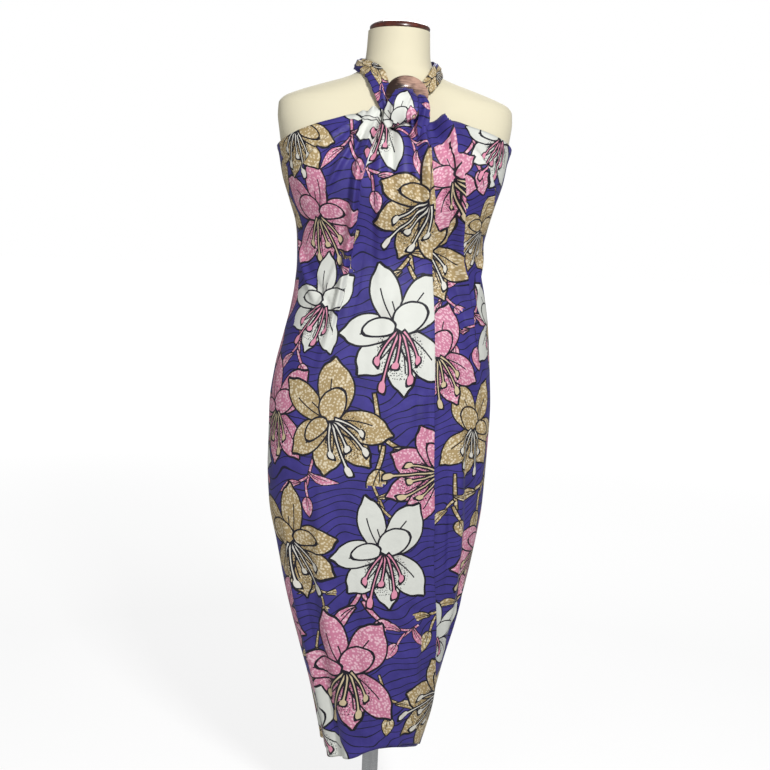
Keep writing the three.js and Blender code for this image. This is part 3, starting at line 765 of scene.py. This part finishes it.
def close_ends(piece):
    take_up(piece)
    bpy.ops.object.mode_set(mode="EDIT")
    bpy.ops.mesh.select_all(action="SELECT")
    bpy.ops.mesh.fill_holes(sides=0)
    bpy.ops.mesh.normals_make_consistent(inside=False)
    bpy.ops.object.mode_set(mode="OBJECT")


def mirrored(table):
    return [dict(row, x=-row["x"]) for row in table]


# ---- Turned and lofted pieces ----
def turned(name, profile, centre, material, sides=96):
    """A turned piece: a disc, extruded and resized up its profile of radius and height, then capped."""
    first_radius, first_height = profile[0]
    deselect_all()
    bpy.ops.mesh.primitive_circle_add(
        vertices=sides,
        radius=first_radius * MM,
        fill_type="NGON",
        location=(centre[0] * MM, centre[1] * MM, (centre[2] + first_height) * MM),
    )
    piece = bpy.context.active_object
    piece.name = name
    bpy.ops.object.mode_set(mode="EDIT")
    bpy.ops.mesh.select_all(action="SELECT")
    for (r0, h0), (r1, h1) in zip(profile, profile[1:]):
        bpy.ops.mesh.extrude_region_move(TRANSFORM_OT_translate={"value": (0, 0, (h1 - h0) * MM)})
        bpy.ops.transform.resize(value=(r1 / r0, r1 / r0, 1))
    bpy.ops.mesh.select_all(action="SELECT")
    bpy.ops.mesh.normals_make_consistent(inside=False)
    bpy.ops.object.mode_set(mode="OBJECT")
    bpy.ops.object.transform_apply(location=True, rotation=True, scale=True)
    bpy.ops.object.shade_smooth_by_angle(angle=40 * DEG)
    piece.data.materials.append(material)
    return piece


def make_form(material):
    """The torso, lofted through its sections and closed at the bottom and the neck."""
    heights = np.concatenate([np.linspace(FORM_BOTTOM, 1330, 90), np.linspace(1332, FORM_TOP, 60)])
    angles = np.arange(0, 360, 3.0)
    points = form_section(angles[None, :], heights[:, None])
    faces, _, _ = ring_faces(len(heights), len(angles))
    piece = new_piece("dress_form", points, faces, material)
    close_ends(piece)
    take_up(piece)
    bpy.ops.object.shade_smooth_by_angle(angle=50 * DEG)
    return piece


def make_ring(material):
    """A flattened torus, cut flat at the back, tilted and moved to its place."""
    band = (RING_RADIUS - RING_HOLE) / 2
    deselect_all()
    bpy.ops.mesh.primitive_torus_add(
        major_segments=96,
        minor_segments=28,
        major_radius=(RING_RADIUS - band) * MM,
        minor_radius=band * MM,
    )
    piece = bpy.context.active_object
    piece.name = "coconut_ring"
    flat = RING_THICKNESS / 2 / band
    for vertex in piece.data.vertices:
        vertex.co.z = max(vertex.co.z * flat, -RING_THICKNESS * 0.42 * MM)
    piece.rotation_euler = ((90 - RING_TILT) * DEG, 0, 0)
    piece.location = RING_CENTRE * MM
    bpy.ops.object.transform_apply(location=True, rotation=True, scale=True)
    bpy.ops.object.shade_smooth_by_angle(angle=50 * DEG)
    piece.data.materials.append(material)
    return piece


def make_nape_knot(material):
    """The square knot behind the neck: a lobed round with a crease where the two bands cross."""
    steps, sides = 40, 64
    up = -np.cos(np.linspace(0.06, 0.94, steps) * math.pi)
    girth = np.sin(np.linspace(0.06, 0.94, steps) * math.pi) ** 0.8
    turn = np.arange(sides) / sides * 2 * math.pi
    lobe = 1 + 0.07 * np.cos(4 * turn)[None, :] * np.cos(2 * up)[:, None]
    crease = 1 - 0.1 * np.exp(-((up[:, None] - 0.5 * np.cos(turn)[None, :]) ** 2) / 0.02)
    radius = girth[:, None] * lobe * crease
    points = np.stack(
        [
            NAPE_KNOT["wide"] / 2 * radius * np.cos(turn),
            NAPE_KNOT["y"] + NAPE_KNOT["thick"] / 2 * radius * np.sin(turn),
            np.broadcast_to(NAPE_KNOT["z"] + NAPE_KNOT["tall"] / 2 * up[:, None], radius.shape),
        ],
        -1,
    )
    faces, _, _ = ring_faces(steps, sides)
    piece = new_piece("nape_knot_tied", points, faces, material)
    corners = points.reshape(-1, 3)[faces]
    motifs = {"lily_under": (10, 4, 60, 20, 1, "tan")}
    lay_plain_print(piece, corners[..., 0], corners[..., 2] - NAPE_KNOT["z"], motifs)
    close_ends(piece)
    return piece


# ---- Materials ----
def linear(hex_colour):
    """An sRGB hex colour as linear light, with alpha 1."""
    channels = [int(hex_colour[i : i + 2], 16) / 255 for i in (1, 3, 5)]
    return [c / 12.92 if c <= 0.04045 else ((c + 0.055) / 1.055) ** 2.4 for c in channels] + [1]


def fill(socket, value):
    """Sets an input, or links it: to a socket, or to a node's first output in use."""
    if isinstance(value, bpy.types.Node):
        value = next(output for output in value.outputs if output.enabled)
    if isinstance(value, bpy.types.NodeSocket):
        socket.id_data.links.new(value, socket)
    else:
        socket.default_value = value


def add_node(tree, kind, *values, named=(), **settings):
    """Adds a node with its settings. values fill its inputs in use, in order, and named fills others."""
    node = tree.nodes.new(kind if kind.startswith("Node") else "ShaderNode" + kind)
    for name, value in settings.items():
        setattr(node, name, value)
    for socket, value in zip([socket for socket in node.inputs if socket.enabled], values):
        fill(socket, value)
    for name, value in dict(named).items():
        fill(node.inputs[name], value)
    return node


def new_material(name, uniform):
    """A material, what adds its nodes, and its shader's inputs. uniform sets those that are the same all
    over it."""
    material = bpy.data.materials.new(name)
    material.use_nodes = True
    shader = material.node_tree.nodes["Principled BSDF"].inputs
    for socket, value in uniform.items():
        fill(shader[socket], value)
    return material, partial(add_node, material.node_tree), shader


def new_group(name, inputs, outputs):
    """An empty node group, what adds its nodes, and its given values. A socket has a name and a type."""
    tree = bpy.data.node_groups.new(name, "ShaderNodeTree")
    for side, sockets in (("INPUT", inputs), ("OUTPUT", outputs)):
        for label, kind in sockets.items():
            tree.interface.new_socket(label, in_out=side, socket_type="NodeSocket" + kind)
    add = partial(add_node, tree)
    return tree, add, add("NodeGroupInput").outputs


INK = "#15131f"
INK_WIDTH = 0.03  # of a motif's reach, so about 3 mm round an edge
# Two veins: how far they bow out, in widths of their blade, their thickness in INK_WIDTH, and their mean
# length and half the difference, in lengths of their blade.
VEINS = {"bow": -0.55, "thickness": 0.36, "length": 0.54, "differ": 0.12}
PRINT_INKS = rows(
    "part white tan pink",
    ("petal", "#d9dbd4", "#ab9468", "#cb7f9b"),
    ("bubble", "#d9dbd4", "#e2d5b8", "#ecc3d0"),
    ("stamen", "#dd93ab", "#dedbd1", "#cfbe9a"),
    ("base", "#c2c0bb", "#9d865a", "#bb6c8c"),
)
PURPLES = ("#272160", "#4b429d")
HAIRLINE_INK = "#15132e"
# How many lines to 100 mm, the share of it that they take, their slope, the rate and the size of their
# swing, and how far noise warps them.
HAIRLINES = {"count": 6.4, "share": 0.12, "slope": -0.22, "waves": 5.5, "swing": 0.06, "warp": 0.7}
BUBBLE_SCALE = 19.0  # to 100 mm, so bubbles of 3 to 5 mm

# Half-width along a petal, lobe, leaf, bud, stamen or stem, as a share of the widest.
PETAL = ((0, 0.16), (0.12, 0.46), (0.35, 0.86), (0.58, 1), (0.78, 0.78), (0.92, 0.26), (1, 0))
LOBE = ((0, 0.3), (0.1, 0.66), (0.3, 0.93), (0.55, 1), (0.8, 0.8), (0.94, 0.42), (1, 0))
LEAF = ((0, 0.1), (0.25, 0.66), (0.5, 1), (0.75, 0.66), (0.92, 0.2), (1, 0))
BUD = ((0, 0.2), (0.12, 0.7), (0.38, 1), (0.7, 0.74), (0.92, 0.26), (1, 0))
STAMEN = ((0, 0.3), (0.7, 0.22), (0.8, 0.3), (0.86, 0.86), (0.93, 1), (1, 0.3))
STEM = ((0, 0.7), (0.5, 1), (0.96, 0.8), (1, 0))

BLADE = "x y turn length width bend"  # in shares of a motif's reach, and the turn in degrees
LILY_PETALS = rows(
    BLADE,
    (0, 0, 272, 0.98, 0.42, 0.06),
    (0, 0, 234, 0.9, 0.5, -0.08),
    (0, 0, 318, 1.02, 0.5, -0.1),
    (0, 0, 176, 0.88, 0.46, 0.14),
    (0, 0, 116, 1.04, 0.44, -0.14),
    (0, 0, 44, 1.0, 0.6, 0.2),
)
LILY_LOBES = rows(BLADE, (0.02, 0, 62, 0.5, 0.42, -0.1), (-0.08, 0.02, 168, 0.44, 0.26, 0.12))
LILY_STAMENS = rows(
    BLADE,
    (-0.03, -0.03, 222, 0.56, 0.1, 0.16),
    (0, -0.04, 246, 0.92, 0.1, 0.14),
    (0.02, -0.04, 268, 0.54, 0.1, -0.06),
    (0.05, -0.04, 290, 0.76, 0.1, -0.14),
    (0.07, -0.02, 314, 0.5, 0.1, -0.16),
)
THROAT = {"middle": (0.02, -0.36, 0.0), "radius": 0.38, "freckles": 26.0, "freckle_size": 0.22}
SPRAY_STEMS = rows(
    BLADE,
    (0.04, 1.0, 268, 1.06, 0.06, 0.06),
    (0, 0.02, 284, 0.5, 0.06, 0.08),
    (0, 0.2, 236, 0.4, 0.06, -0.1),
)
SPRAY_BUDS = rows(BLADE, (0.14, -0.42, 288, 0.56, 0.34, 0.04))
SPRAY_LEAVES = rows(BLADE, (-0.18, -0.06, 196, 0.78, 0.24, 0.34), (0.02, 0.34, 340, 0.9, 0.24, 0.32))


def blade_group(name, profile):
    """A node group for one petal, leaf or stamen, which lies along a ray from its own foot."""
    sizes = dict.fromkeys(("Turn", "Length", "Width", "Bend"), "Float")
    masks_out = dict.fromkeys(("Outline", "Fill", "Vein", "Along"), "Float")
    tree, add, given = new_group(name, {"Place": "Vector", **sizes}, masks_out)
    along_x = {"Vector": given["Place"], "Angle": given["Turn"]}
    x, y, _ = add("SeparateXYZ", add("VectorRotate", named=along_x, rotation_type="Z_AXIS")).outputs
    along = add("Math", x, given["Length"], operation="DIVIDE")
    square = add("Math", along, along, operation="MULTIPLY")
    sway = add("Math", square, given["Bend"], operation="MULTIPLY")
    across = add("Math", y, sway, operation="SUBTRACT")
    off = add("Math", across, operation="ABSOLUTE")
    half = add("Math", given["Width"], 0.5, operation="MULTIPLY")
    masks = []
    for grown in (INK_WIDTH, 0):
        longer = add("Math", given["Length"], 2 * grown, operation="ADD")
        shifted = add("Math", x, grown, operation="ADD")
        at = add("Math", shifted, longer, operation="DIVIDE")
        shape = add("FloatCurve", named={"Value": at})
        points = shape.mapping.curves[0].points
        points[0].location, points[1].location = profile[0], profile[-1]
        for place in profile[1:-1]:
            points.new(*place)
        shape.mapping.update()
        reach = add("Math", shape, half, grown, operation="MULTIPLY_ADD")
        inside = add("Math", reach, off, operation="GREATER_THAN")
        between_ends = add("Math", at, 0.5, 0.5, operation="COMPARE")
        masks.append(add("Math", inside, between_ends, operation="MULTIPLY"))
    # two veins bow out from the foot, one longer than the other
    bow = add("Math", along, square, operation="SUBTRACT")
    sized = add("Math", bow, given["Width"], operation="MULTIPLY")
    apart = add("Math", sized, VEINS["bow"], off, operation="MULTIPLY_ADD")
    thin = add("Math", apart, 0, INK_WIDTH * VEINS["thickness"], operation="COMPARE")
    side = add("Math", across, operation="SIGN")
    limit = add("Math", side, VEINS["differ"], VEINS["length"], operation="MULTIPLY_ADD")
    short = add("Math", along, limit, operation="LESS_THAN")
    vein = add("Math", thin, short, operation="MULTIPLY")
    veined = add("Math", vein, masks[1], operation="MULTIPLY")
    add("NodeGroupOutput", *masks, veined, along)
    return tree


def draw_blades(add, blades, group, place, colour, mask, body, veins, base=None):
    """Draws blades over a colour, each with its ink outline. Returns the new colour and mask."""
    for blade in blades:
        from_foot = add("VectorMath", place, (blade["x"], blade["y"], 0.0), operation="SUBTRACT")
        sizes = {key.title(): blade[key] for key in ("length", "width", "bend")}
        given = {"Place": from_foot, "Turn": -blade["turn"] * DEG, **sizes}
        drawn = add("Group", named=given, node_tree=group).outputs
        shaded = body
        if base is not None:
            deep = add("MapRange", drawn["Along"], 0.05, 0.5, 1.0, 0.0)
            shaded = add("Mix", deep, body, base, data_type="RGBA")
        paints = [("Outline", linear(INK)), ("Fill", shaded), ("Vein", linear(INK))]
        for part, paint in paints[: 3 if veins else 2]:
            colour = add("Mix", drawn[part], colour, paint, data_type="RGBA")
        mask = add("Math", mask, drawn["Outline"], operation="MAXIMUM")
    return colour, mask


def motif_group(name):
    """A node group for one motif, drawn in its three inks, with a mask of where it lies."""
    inks = dict.fromkeys(("Fill", "Base", "Stamen"), "Color")
    return new_group(name, {"Place": "Vector", **inks}, {"Colour": "Color", "Mask": "Float"})


def lily_group(petal, lobe, stamen):
    """A lily seen a little from above: petals, freckles in the throat, two lobes that fold over, and then the
    drooping stamens."""
    tree, add, given = motif_group("lily")
    place, body = given["Place"], given["Fill"]
    colour, mask = draw_blades(add, LILY_PETALS, petal, place, linear(INK), 0, body, True, given["Base"])
    spaced = {"Vector": place, "Scale": THROAT["freckles"]}
    freckles = add("TexVoronoi", named=spaced, voronoi_dimensions="2D")
    dot = add("Math", freckles, THROAT["freckle_size"], operation="LESS_THAN")
    away = add("VectorMath", place, THROAT["middle"], operation="DISTANCE")
    near = add("Math", away, THROAT["radius"], operation="LESS_THAN")
    freckled = add("Math", dot, near, operation="MULTIPLY")
    colour = add("Mix", freckled, colour, linear(INK), data_type="RGBA")
    colour, mask = draw_blades(add, LILY_LOBES, lobe, place, colour, mask, body, False)
    colour, mask = draw_blades(add, LILY_STAMENS, stamen, place, colour, mask, given["Stamen"], False)
    add("NodeGroupOutput", colour, mask)
    return tree


def spray_group(leaf, bud, stem):
    """A forked stem with a hanging bud and two curled leaves."""
    tree, add, given = motif_group("spray")
    colour, mask = linear(INK), 0
    parts = ((SPRAY_STEMS, stem, False), (SPRAY_BUDS, bud, True), (SPRAY_LEAVES, leaf, True))
    for blades, group, veins in parts:
        colour, mask = draw_blades(add, blades, group, given["Place"], colour, mask, given["Fill"], veins)
    add("NodeGroupOutput", colour, mask)
    return tree


def ground_colour(add, ground):
    """Purple, dyed a little unevenly, with wavy hairlines about 16 mm apart, which lean and crowd but hardly
    ever close."""
    long_waves = add("Mapping", named={"Vector": ground, "Scale": (0.75, 1.0, 1.0)})
    warp = add("TexNoise", named={"Vector": long_waves, "Scale": 1.25, "Detail": 1.5})
    across, up, _ = add("SeparateXYZ", ground).outputs
    wave = add("Math", across, HAIRLINES["waves"], operation="MULTIPLY")
    swing = add("Math", wave, operation="SINE")
    swung = add("Math", swing, HAIRLINES["swing"], up, operation="MULTIPLY_ADD")
    warped = add("Math", warp, HAIRLINES["warp"], swung, operation="MULTIPLY_ADD")
    sloping = add("Math", across, HAIRLINES["slope"], warped, operation="MULTIPLY_ADD")
    counted = add("Math", sloping, HAIRLINES["count"], operation="MULTIPLY")
    part = add("Math", counted, operation="FRACT")
    line = add("Math", part, HAIRLINES["share"], operation="LESS_THAN")
    dye = add("TexNoise", named={"Vector": ground, "Scale": 2.6, "Detail": 3.0})
    purple = add("Mix", dye, *map(linear, PURPLES), data_type="RGBA")
    return add("Mix", line, purple, linear(HAIRLINE_INK), data_type="RGBA")


def bubble_light(add, ground):
    """How far the bubbles' colour shows: they are round, 3 to 5 mm across, in looser and denser patches."""
    bubbles = add("TexVoronoi", named={"Vector": ground, "Scale": BUBBLE_SCALE}, voronoi_dimensions="2D")
    patches = add("TexNoise", named={"Vector": ground, "Scale": 5.0, "Detail": 1.0})
    edge = add("MapRange", patches, 0.35, 0.65, 0.3, 0.52)
    inside = add("Math", edge, bubbles, operation="SUBTRACT")
    return add("MapRange", inside, 0.0, 0.2, 0.0, 0.9)


def printed_cotton():
    """Wax-print cotton, calendered. The eye gets flat inks with black outlines, light bubbles where the wax
    cracked off, a soft low sheen on the folds, and no single thread at this distance."""
    material, add, shader = new_material(
        "wax_print_cotton",
        {"Roughness": 0.55, "Sheen Weight": 0.05, "Sheen Roughness": 0.4, "Specular IOR Level": 0.35},
    )
    ground = add("UVMap", uv_map="ground")
    colour = ground_colour(add, ground)
    light = bubble_light(add, ground)
    lily = lily_group(blade_group("petal", PETAL), blade_group("lobe", LOBE), blade_group("stamen", STAMEN))
    spray = spray_group(blade_group("leaf", LEAF), blade_group("bud", BUD), blade_group("stem", STEM))
    for name, group in zip(MOTIF_MAPS, (spray, lily, lily)):
        kind = add("Attribute", attribute_name=name + "_colour").outputs["Fac"]
        not_white = add("Math", kind, 0.5, operation="GREATER_THAN")
        pink = add("Math", kind, 1.5, operation="GREATER_THAN")
        inks = {}
        for ink in PRINT_INKS:
            pale = add("Mix", not_white, linear(ink["white"]), linear(ink["tan"]), data_type="RGBA")
            inks[ink["part"]] = add("Mix", pink, pale, linear(ink["pink"]), data_type="RGBA")
        spots = add("Math", light, not_white, operation="MULTIPLY")
        body = add("Mix", spots, inks["petal"], inks["bubble"], data_type="RGBA")
        place = add("UVMap", uv_map=name)
        given = {"Place": place, "Fill": body, "Base": inks["base"], "Stamen": inks["stamen"]}
        drawn = add("Group", named=given, node_tree=group).outputs
        colour = add("Mix", drawn["Mask"], colour, drawn["Colour"], data_type="RGBA")
    fill(shader["Base Color"], colour)
    # soft crumples, 20 to 60 mm across, and a weave drawn at 1.2 mm, coarse enough to show
    where = add("TexCoord").outputs["Object"]
    crumple = add("TexNoise", named={"Vector": where, "Scale": 26.0, "Detail": 3.0})
    weave = add("TexNoise", named={"Vector": where, "Scale": 800.0, "Detail": 1.0})
    soft = add("Bump", named={"Height": crumple, "Strength": 0.5, "Distance": 0.006})
    fine = add("Bump", named={"Height": weave, "Strength": 0.12, "Distance": 0.0004, "Normal": soft})
    fill(shader["Normal"], fine)
    return material


def knitted_cover():
    """Cream cotton jersey stretched over a shell. The eye gets an even, matt, slightly warm surface."""
    material, add, shader = new_material(
        "cream_jersey", {"Roughness": 0.9, "Sheen Weight": 0.15, "Specular IOR Level": 0.2}
    )
    where = add("TexCoord").outputs["Object"]
    tone = add("TexNoise", named={"Vector": where, "Scale": 9.0, "Detail": 3.0})
    fill(shader["Base Color"], add("Mix", tone, linear("#ded6ba"), linear("#e4ddc3"), data_type="RGBA"))
    knit = add("TexNoise", named={"Vector": where, "Scale": 700.0, "Detail": 1.0})  # stitches of 1.4 mm
    bump = add("Bump", named={"Height": knit, "Strength": 0.15, "Distance": 0.0004})
    fill(shader["Normal"], bump)
    return material


def stained_wood():
    """Turned beech, stained dark red, with satin lacquer. The eye gets faint rings and a clear highlight."""
    material, add, shader = new_material(
        "stained_beech", {"Roughness": 0.35, "Coat Weight": 0.5, "Coat Roughness": 0.2}
    )
    where = add("TexCoord").outputs["Object"]
    stretched = add("Mapping", named={"Vector": where, "Scale": (9.0, 60.0, 60.0)})
    grain = add("TexNoise", named={"Vector": stretched, "Scale": 3.0, "Detail": 6.0})
    share = add("MapRange", grain, 0.35, 0.68)
    fill(shader["Base Color"], add("Mix", share, linear("#34130d"), linear("#6a2c1e"), data_type="RGBA"))
    return material


def coconut_shell():
    """Ground and polished coconut shell. The eye gets pale and dark brown fibres and a glossy dome, with a
    painted highlight that makes it paler towards +X and painted shade that darkens it towards -X."""
    material, add, shader = new_material(
        "polished_coconut", {"Roughness": 0.28, "Coat Weight": 0.4, "Coat Roughness": 0.12}
    )
    where = add("TexCoord").outputs["Object"]
    turned_grain = {"Vector": where, "Rotation": (0.0, -40 * DEG, 0.0), "Scale": (1.0, 1.0, 8.0)}
    fibres = add("Mapping", named=turned_grain)
    streak = add("TexNoise", named={"Vector": fibres, "Scale": 70.0, "Detail": 5.0, "Distortion": 0.6})
    blotch = add("TexNoise", named={"Vector": where, "Scale": 45.0, "Detail": 2.0})
    both = add("Math", streak, blotch, operation="ADD")
    # painted highlight and painted shade over the fibres: the colour grows paler towards +X and darker
    # towards -X
    side = add("SeparateXYZ", where).outputs["X"]
    grain_with_painted_light = add("Math", side, 9.0, both, operation="MULTIPLY_ADD")
    share = add("MapRange", grain_with_painted_light, 0.86, 1.4)
    fill(shader["Base Color"], add("Mix", share, linear("#2b1a13"), linear("#c09a88"), data_type="RGBA"))
    return material


def satin_steel():
    """Drawn steel tube, satin finished. The eye gets long soft highlights and faint lines round it."""
    material, add, shader = new_material(
        "satin_steel_tube", {"Roughness": 0.3, "Metallic": 1.0, "Base Color": linear("#c3c5c7")}
    )
    where = add("TexCoord").outputs["Object"]
    lines = add("Mapping", named={"Vector": where, "Scale": (1.0, 1.0, 60.0)})
    noise = add("TexNoise", named={"Vector": lines, "Scale": 30.0, "Detail": 3.0})
    fill(shader["Roughness"], add("MapRange", noise, 0.3, 0.7, 0.24, 0.38))
    return material


def base_enamel():
    """Powder-coated steel plate. The eye gets an even off-white with a very fine orange-peel."""
    material, add, shader = new_material("powder_coat_white", {"Roughness": 0.42})
    where = add("TexCoord").outputs["Object"]
    peel = add("TexNoise", named={"Vector": where, "Scale": 420.0, "Detail": 1.0})
    fill(shader["Base Color"], add("Mix", peel, linear("#e4e3dd"), linear("#ebeae5"), data_type="RGBA"))
    bump = add("Bump", named={"Height": peel, "Strength": 0.2, "Distance": 0.0003})
    fill(shader["Normal"], bump)
    return material


# ---- Putting the pieces together ----
PANELS = rows(
    "name angle stand edges grid layers folds free_edge flipped",
    (
        "top_layer", over_angle, over_stand, OVER_EDGES, OVER_GRID,
        ("top", "back"), OVER_FOLDS, True, False,
    ),
    (
        "lower_layer", under_angle, under_stand, UNDER_EDGES, UNDER_GRID,
        ("low", "back"), UNDER_FOLDS, True, True,
    ),
    (
        "back_of_wrap", back_angle, back_stand, BACK_EDGES, BACK_GRID,
        ("back", "top", "low"), BACK_FOLDS, False, False,
    ),
)

# How each kind of gathered band is made, as bundle() says.
ROLL_SHAPE, SIDE_SHAPE, STRAP_SHAPE, TAIL_SHAPE = rows(
    "sides steps pleats depth below lean twist round_ends print",
    (96, 80, 7, 0.26, 60, 1, 0.5, 0.25, "goes on"),
    (96, 50, 5, 0.26, 60, 1, 0.5, 0.25, "goes on"),
    (72, 120, 6, 0.32, 52, 1, 0.8, 0, "runs along"),
    (48, 40, 3, 0.12, 30, 0.25, 0, 0, "runs along"),
)
STRAP_RIGHT = mirrored(STRAP_START_RIGHT + STRAP_ROUND_NECK)
STRAP_LEFT = STRAP_START_LEFT + STRAP_ROUND_NECK
# A band's motifs, by the map each is in: x, y, reach, turn, flip and colour.
BAND_ROW = "name table shape motifs"
BANDS = rows(
    BAND_ROW,
    (
        "knot_over_ring", KNOT_ROLL, ROLL_SHAPE,
        {"lily_under": (-18, 1303, 58, 16, 1, "white"), "lily_over": (14, 1297, 36, 150, 1, "pink")},
    ),
    ("fold_beside_knot", SIDE_FOLD, SIDE_SHAPE, {"lily_under": (52, 1334, 24, 60, 1, "pink")}),
    (
        "neck_strap_right", STRAP_RIGHT, STRAP_SHAPE,
        {"lily_under": (20, 98, 60, 60, 1, "tan"), "spray": (4, 40, 60, 0, 1, "pink")},
    ),
    (
        "neck_strap_left", STRAP_LEFT, STRAP_SHAPE,
        {"lily_under": (0, 62, 84, 120, 1, "tan"), "spray": (0, 190, 70, 0, 1, "pink")},
    ),
)
TAILS = rows(
    BAND_ROW,
    ("loose_end_right", mirrored(TAIL), TAIL_SHAPE, {"lily_over": (0, 90, 60, 30, 1, "pink")}),
    ("loose_end_left", TAIL, TAIL_SHAPE, {"lily_over": (6, 80, 70, -20, 1, "white")}),
)
WRAP_NODES = (
    "wrap_front_over", "wrap_front_under", "wrap_back", "knot_roll", "side_fold", "strap_wearer_right",
    "strap_wearer_left", "nape_knot", "tail_wearer_right", "tail_wearer_left",
)

# Profiles of the turned pieces: the radius and the height of each point.
CAP_PROFILE = (
    (50, 0), (52, 0.6), (54, 2.6), (54, 5.5), (53, 7.4), (49, 10.4), (42, 13.2), (31, 16), (18, 18), (4, 19)
)
POLE_PROFILE = (
    (14.2, BASE_HEIGHT + SEAM), (15, BASE_HEIGHT + 1.2), (15, FORM_BOTTOM - 1.2), (14.2, FORM_BOTTOM - SEAM)
)
PLATE_PROFILE = ((199, 0), (200, 1), (200, 6.5), (199, 8.4), (196, 10), (190, 11.2), (180, 12), (20, 12))


def add_piece(piece, slot, *nodes):
    """A piece rides on the part's one body and stands for its solids, which it hides. slot is not used."""
    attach(piece, "root")
    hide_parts(*nodes)
    return piece


def make_wrap(cotton):
    (over, over_size, over_area), (under, under_size, under_area), (back, back_size, back_area) = (
        panel(material=cotton, **row) for row in PANELS
    )
    roll, side, strap_right, strap_left = (bundle(material=cotton, **row) for row in BANDS)
    nape = make_nape_knot(cotton)
    tail_right, tail_left = (bundle(material=cotton, **row) for row in TAILS)
    pieces = (over, under, back, roll, side, strap_right, strap_left, nape, tail_right, tail_left)
    for piece, node in zip(pieces, WRAP_NODES):
        add_piece(piece, "printed_cotton", node)


def make_form_and_stand():
    add_piece(make_form(knitted_cover()), "form_cover", "form_torso")
    cap = turned("turned_cap", CAP_PROFILE, (0, CAP_CENTRE_Y, FORM_TOP + SEAM), stained_wood())
    add_piece(cap, "stained_wood", "neck_cap")
    pole = turned("stand_tube", POLE_PROFILE, (0, 0, 0), satin_steel(), 64)
    add_piece(pole, "satin_steel", "stand_pole")
    plate = turned("stand_plate", PLATE_PROFILE, (0, 0, 0), base_enamel(), 160)
    add_piece(plate, "base_enamel", "stand_base")


# ---- Floor, light and camera ----
CAMERA = {"azimuth": -7, "elevation": 6, "distance": 2400, "roll": 2.3, "lens": 60.65}
CAMERA_TARGET = Vector((0, 0, 840))
LIGHTS = rows(
    "name place target size power",
    ("key", (0.55, -2.4, 2.3), (0, 0, 1.0), 0.4, 62),
    ("fill", (-1.9, -2.2, 0.9), (0, 0, 0.9), 1.0, 15),
    ("back", (0.5, 2.3, 3.0), (0, 0, 0.9), 1.0, 44),
)
# The floor glows by near within the distance inner from its middle, and by far from outer on, in metres.
FLOOR_GLOW = {"inner": 1.5, "outer": 6.0, "near": 0.72, "far": 1.0}


def make_camera():
    a, e = CAMERA["azimuth"] * DEG, CAMERA["elevation"] * DEG
    back = Vector((math.sin(a) * math.cos(e), -math.cos(a) * math.cos(e), math.sin(e)))
    right = Vector((0, 0, 1)).cross(back).normalized()
    up = back.cross(right)
    turn = Matrix((right, up, back)).transposed() @ Matrix.Rotation(CAMERA["roll"] * DEG, 3, "Z")
    camera = bpy.data.objects.new("camera", bpy.data.cameras.new("camera"))
    bpy.context.collection.objects.link(camera)
    camera.data.lens = CAMERA["lens"]
    camera.data.sensor_width = 36
    place = (CAMERA_TARGET + back * CAMERA["distance"]) * MM
    camera.matrix_world = Matrix.Translation(place) @ turn.to_4x4()
    bpy.context.scene.camera = camera


def make_lights():
    for row in LIGHTS:
        lamp = bpy.data.lights.new(row["name"], "AREA")
        lamp.size = row["size"]
        lamp.energy = row["power"]
        light = bpy.data.objects.new(row["name"], lamp)
        bpy.context.collection.objects.link(light)
        light.location = row["place"]
        away = Vector(row["target"]) - Vector(row["place"])
        light.rotation_euler = away.to_track_quat("-Z", "Y").to_euler()


def paper_floor():
    """White paper, mostly lit from within, so that only a faint shadow shows on it."""
    material, add, shader = new_material(
        "white_paper",
        {
            "Roughness": 0.95,
            "Specular IOR Level": 0.0,
            "Base Color": linear("#9a9a9a"),
            "Emission Color": (1, 1, 1, 1),
        },
    )
    away = add("VectorMath", add("TexCoord").outputs["Object"], operation="LENGTH")
    glow = add("MapRange", away, *(FLOOR_GLOW[key] for key in ("inner", "outer", "near", "far")))
    seen = add("LightPath").outputs["Is Camera Ray"]
    share = add("MapRange", seen, 0.0, 1.0, FLOOR_LIGHT, 1.0)
    fill(shader["Emission Strength"], add("Math", glow, share, operation="MULTIPLY"))
    return material


def white_world():
    """A white surround that lights the object less brightly than the camera sees it."""
    world = bpy.data.worlds.new("studio")
    world.use_nodes = True
    add = partial(add_node, world.node_tree)
    background = world.node_tree.nodes["Background"].inputs
    seen = add("LightPath").outputs["Is Camera Ray"]
    fill(background["Strength"], add("MapRange", seen, 0.0, 1.0, WORLD_LIGHT, 1.0))
    fill(background["Color"], (1, 1, 1, 1))
    bpy.context.scene.world = world


def make_stage():
    deselect_all()
    bpy.ops.mesh.primitive_plane_add(size=120)
    floor = bpy.context.active_object
    floor.name = "floor"
    floor.data.materials.append(paper_floor())
    white_world()
    bpy.context.scene.view_settings.view_transform = "Standard"
    make_lights()


make_camera()
make_wrap(printed_cotton())
add_piece(make_ring(coconut_shell()), "coconut_shell", "shell_ring")
make_form_and_stand()
make_stage()
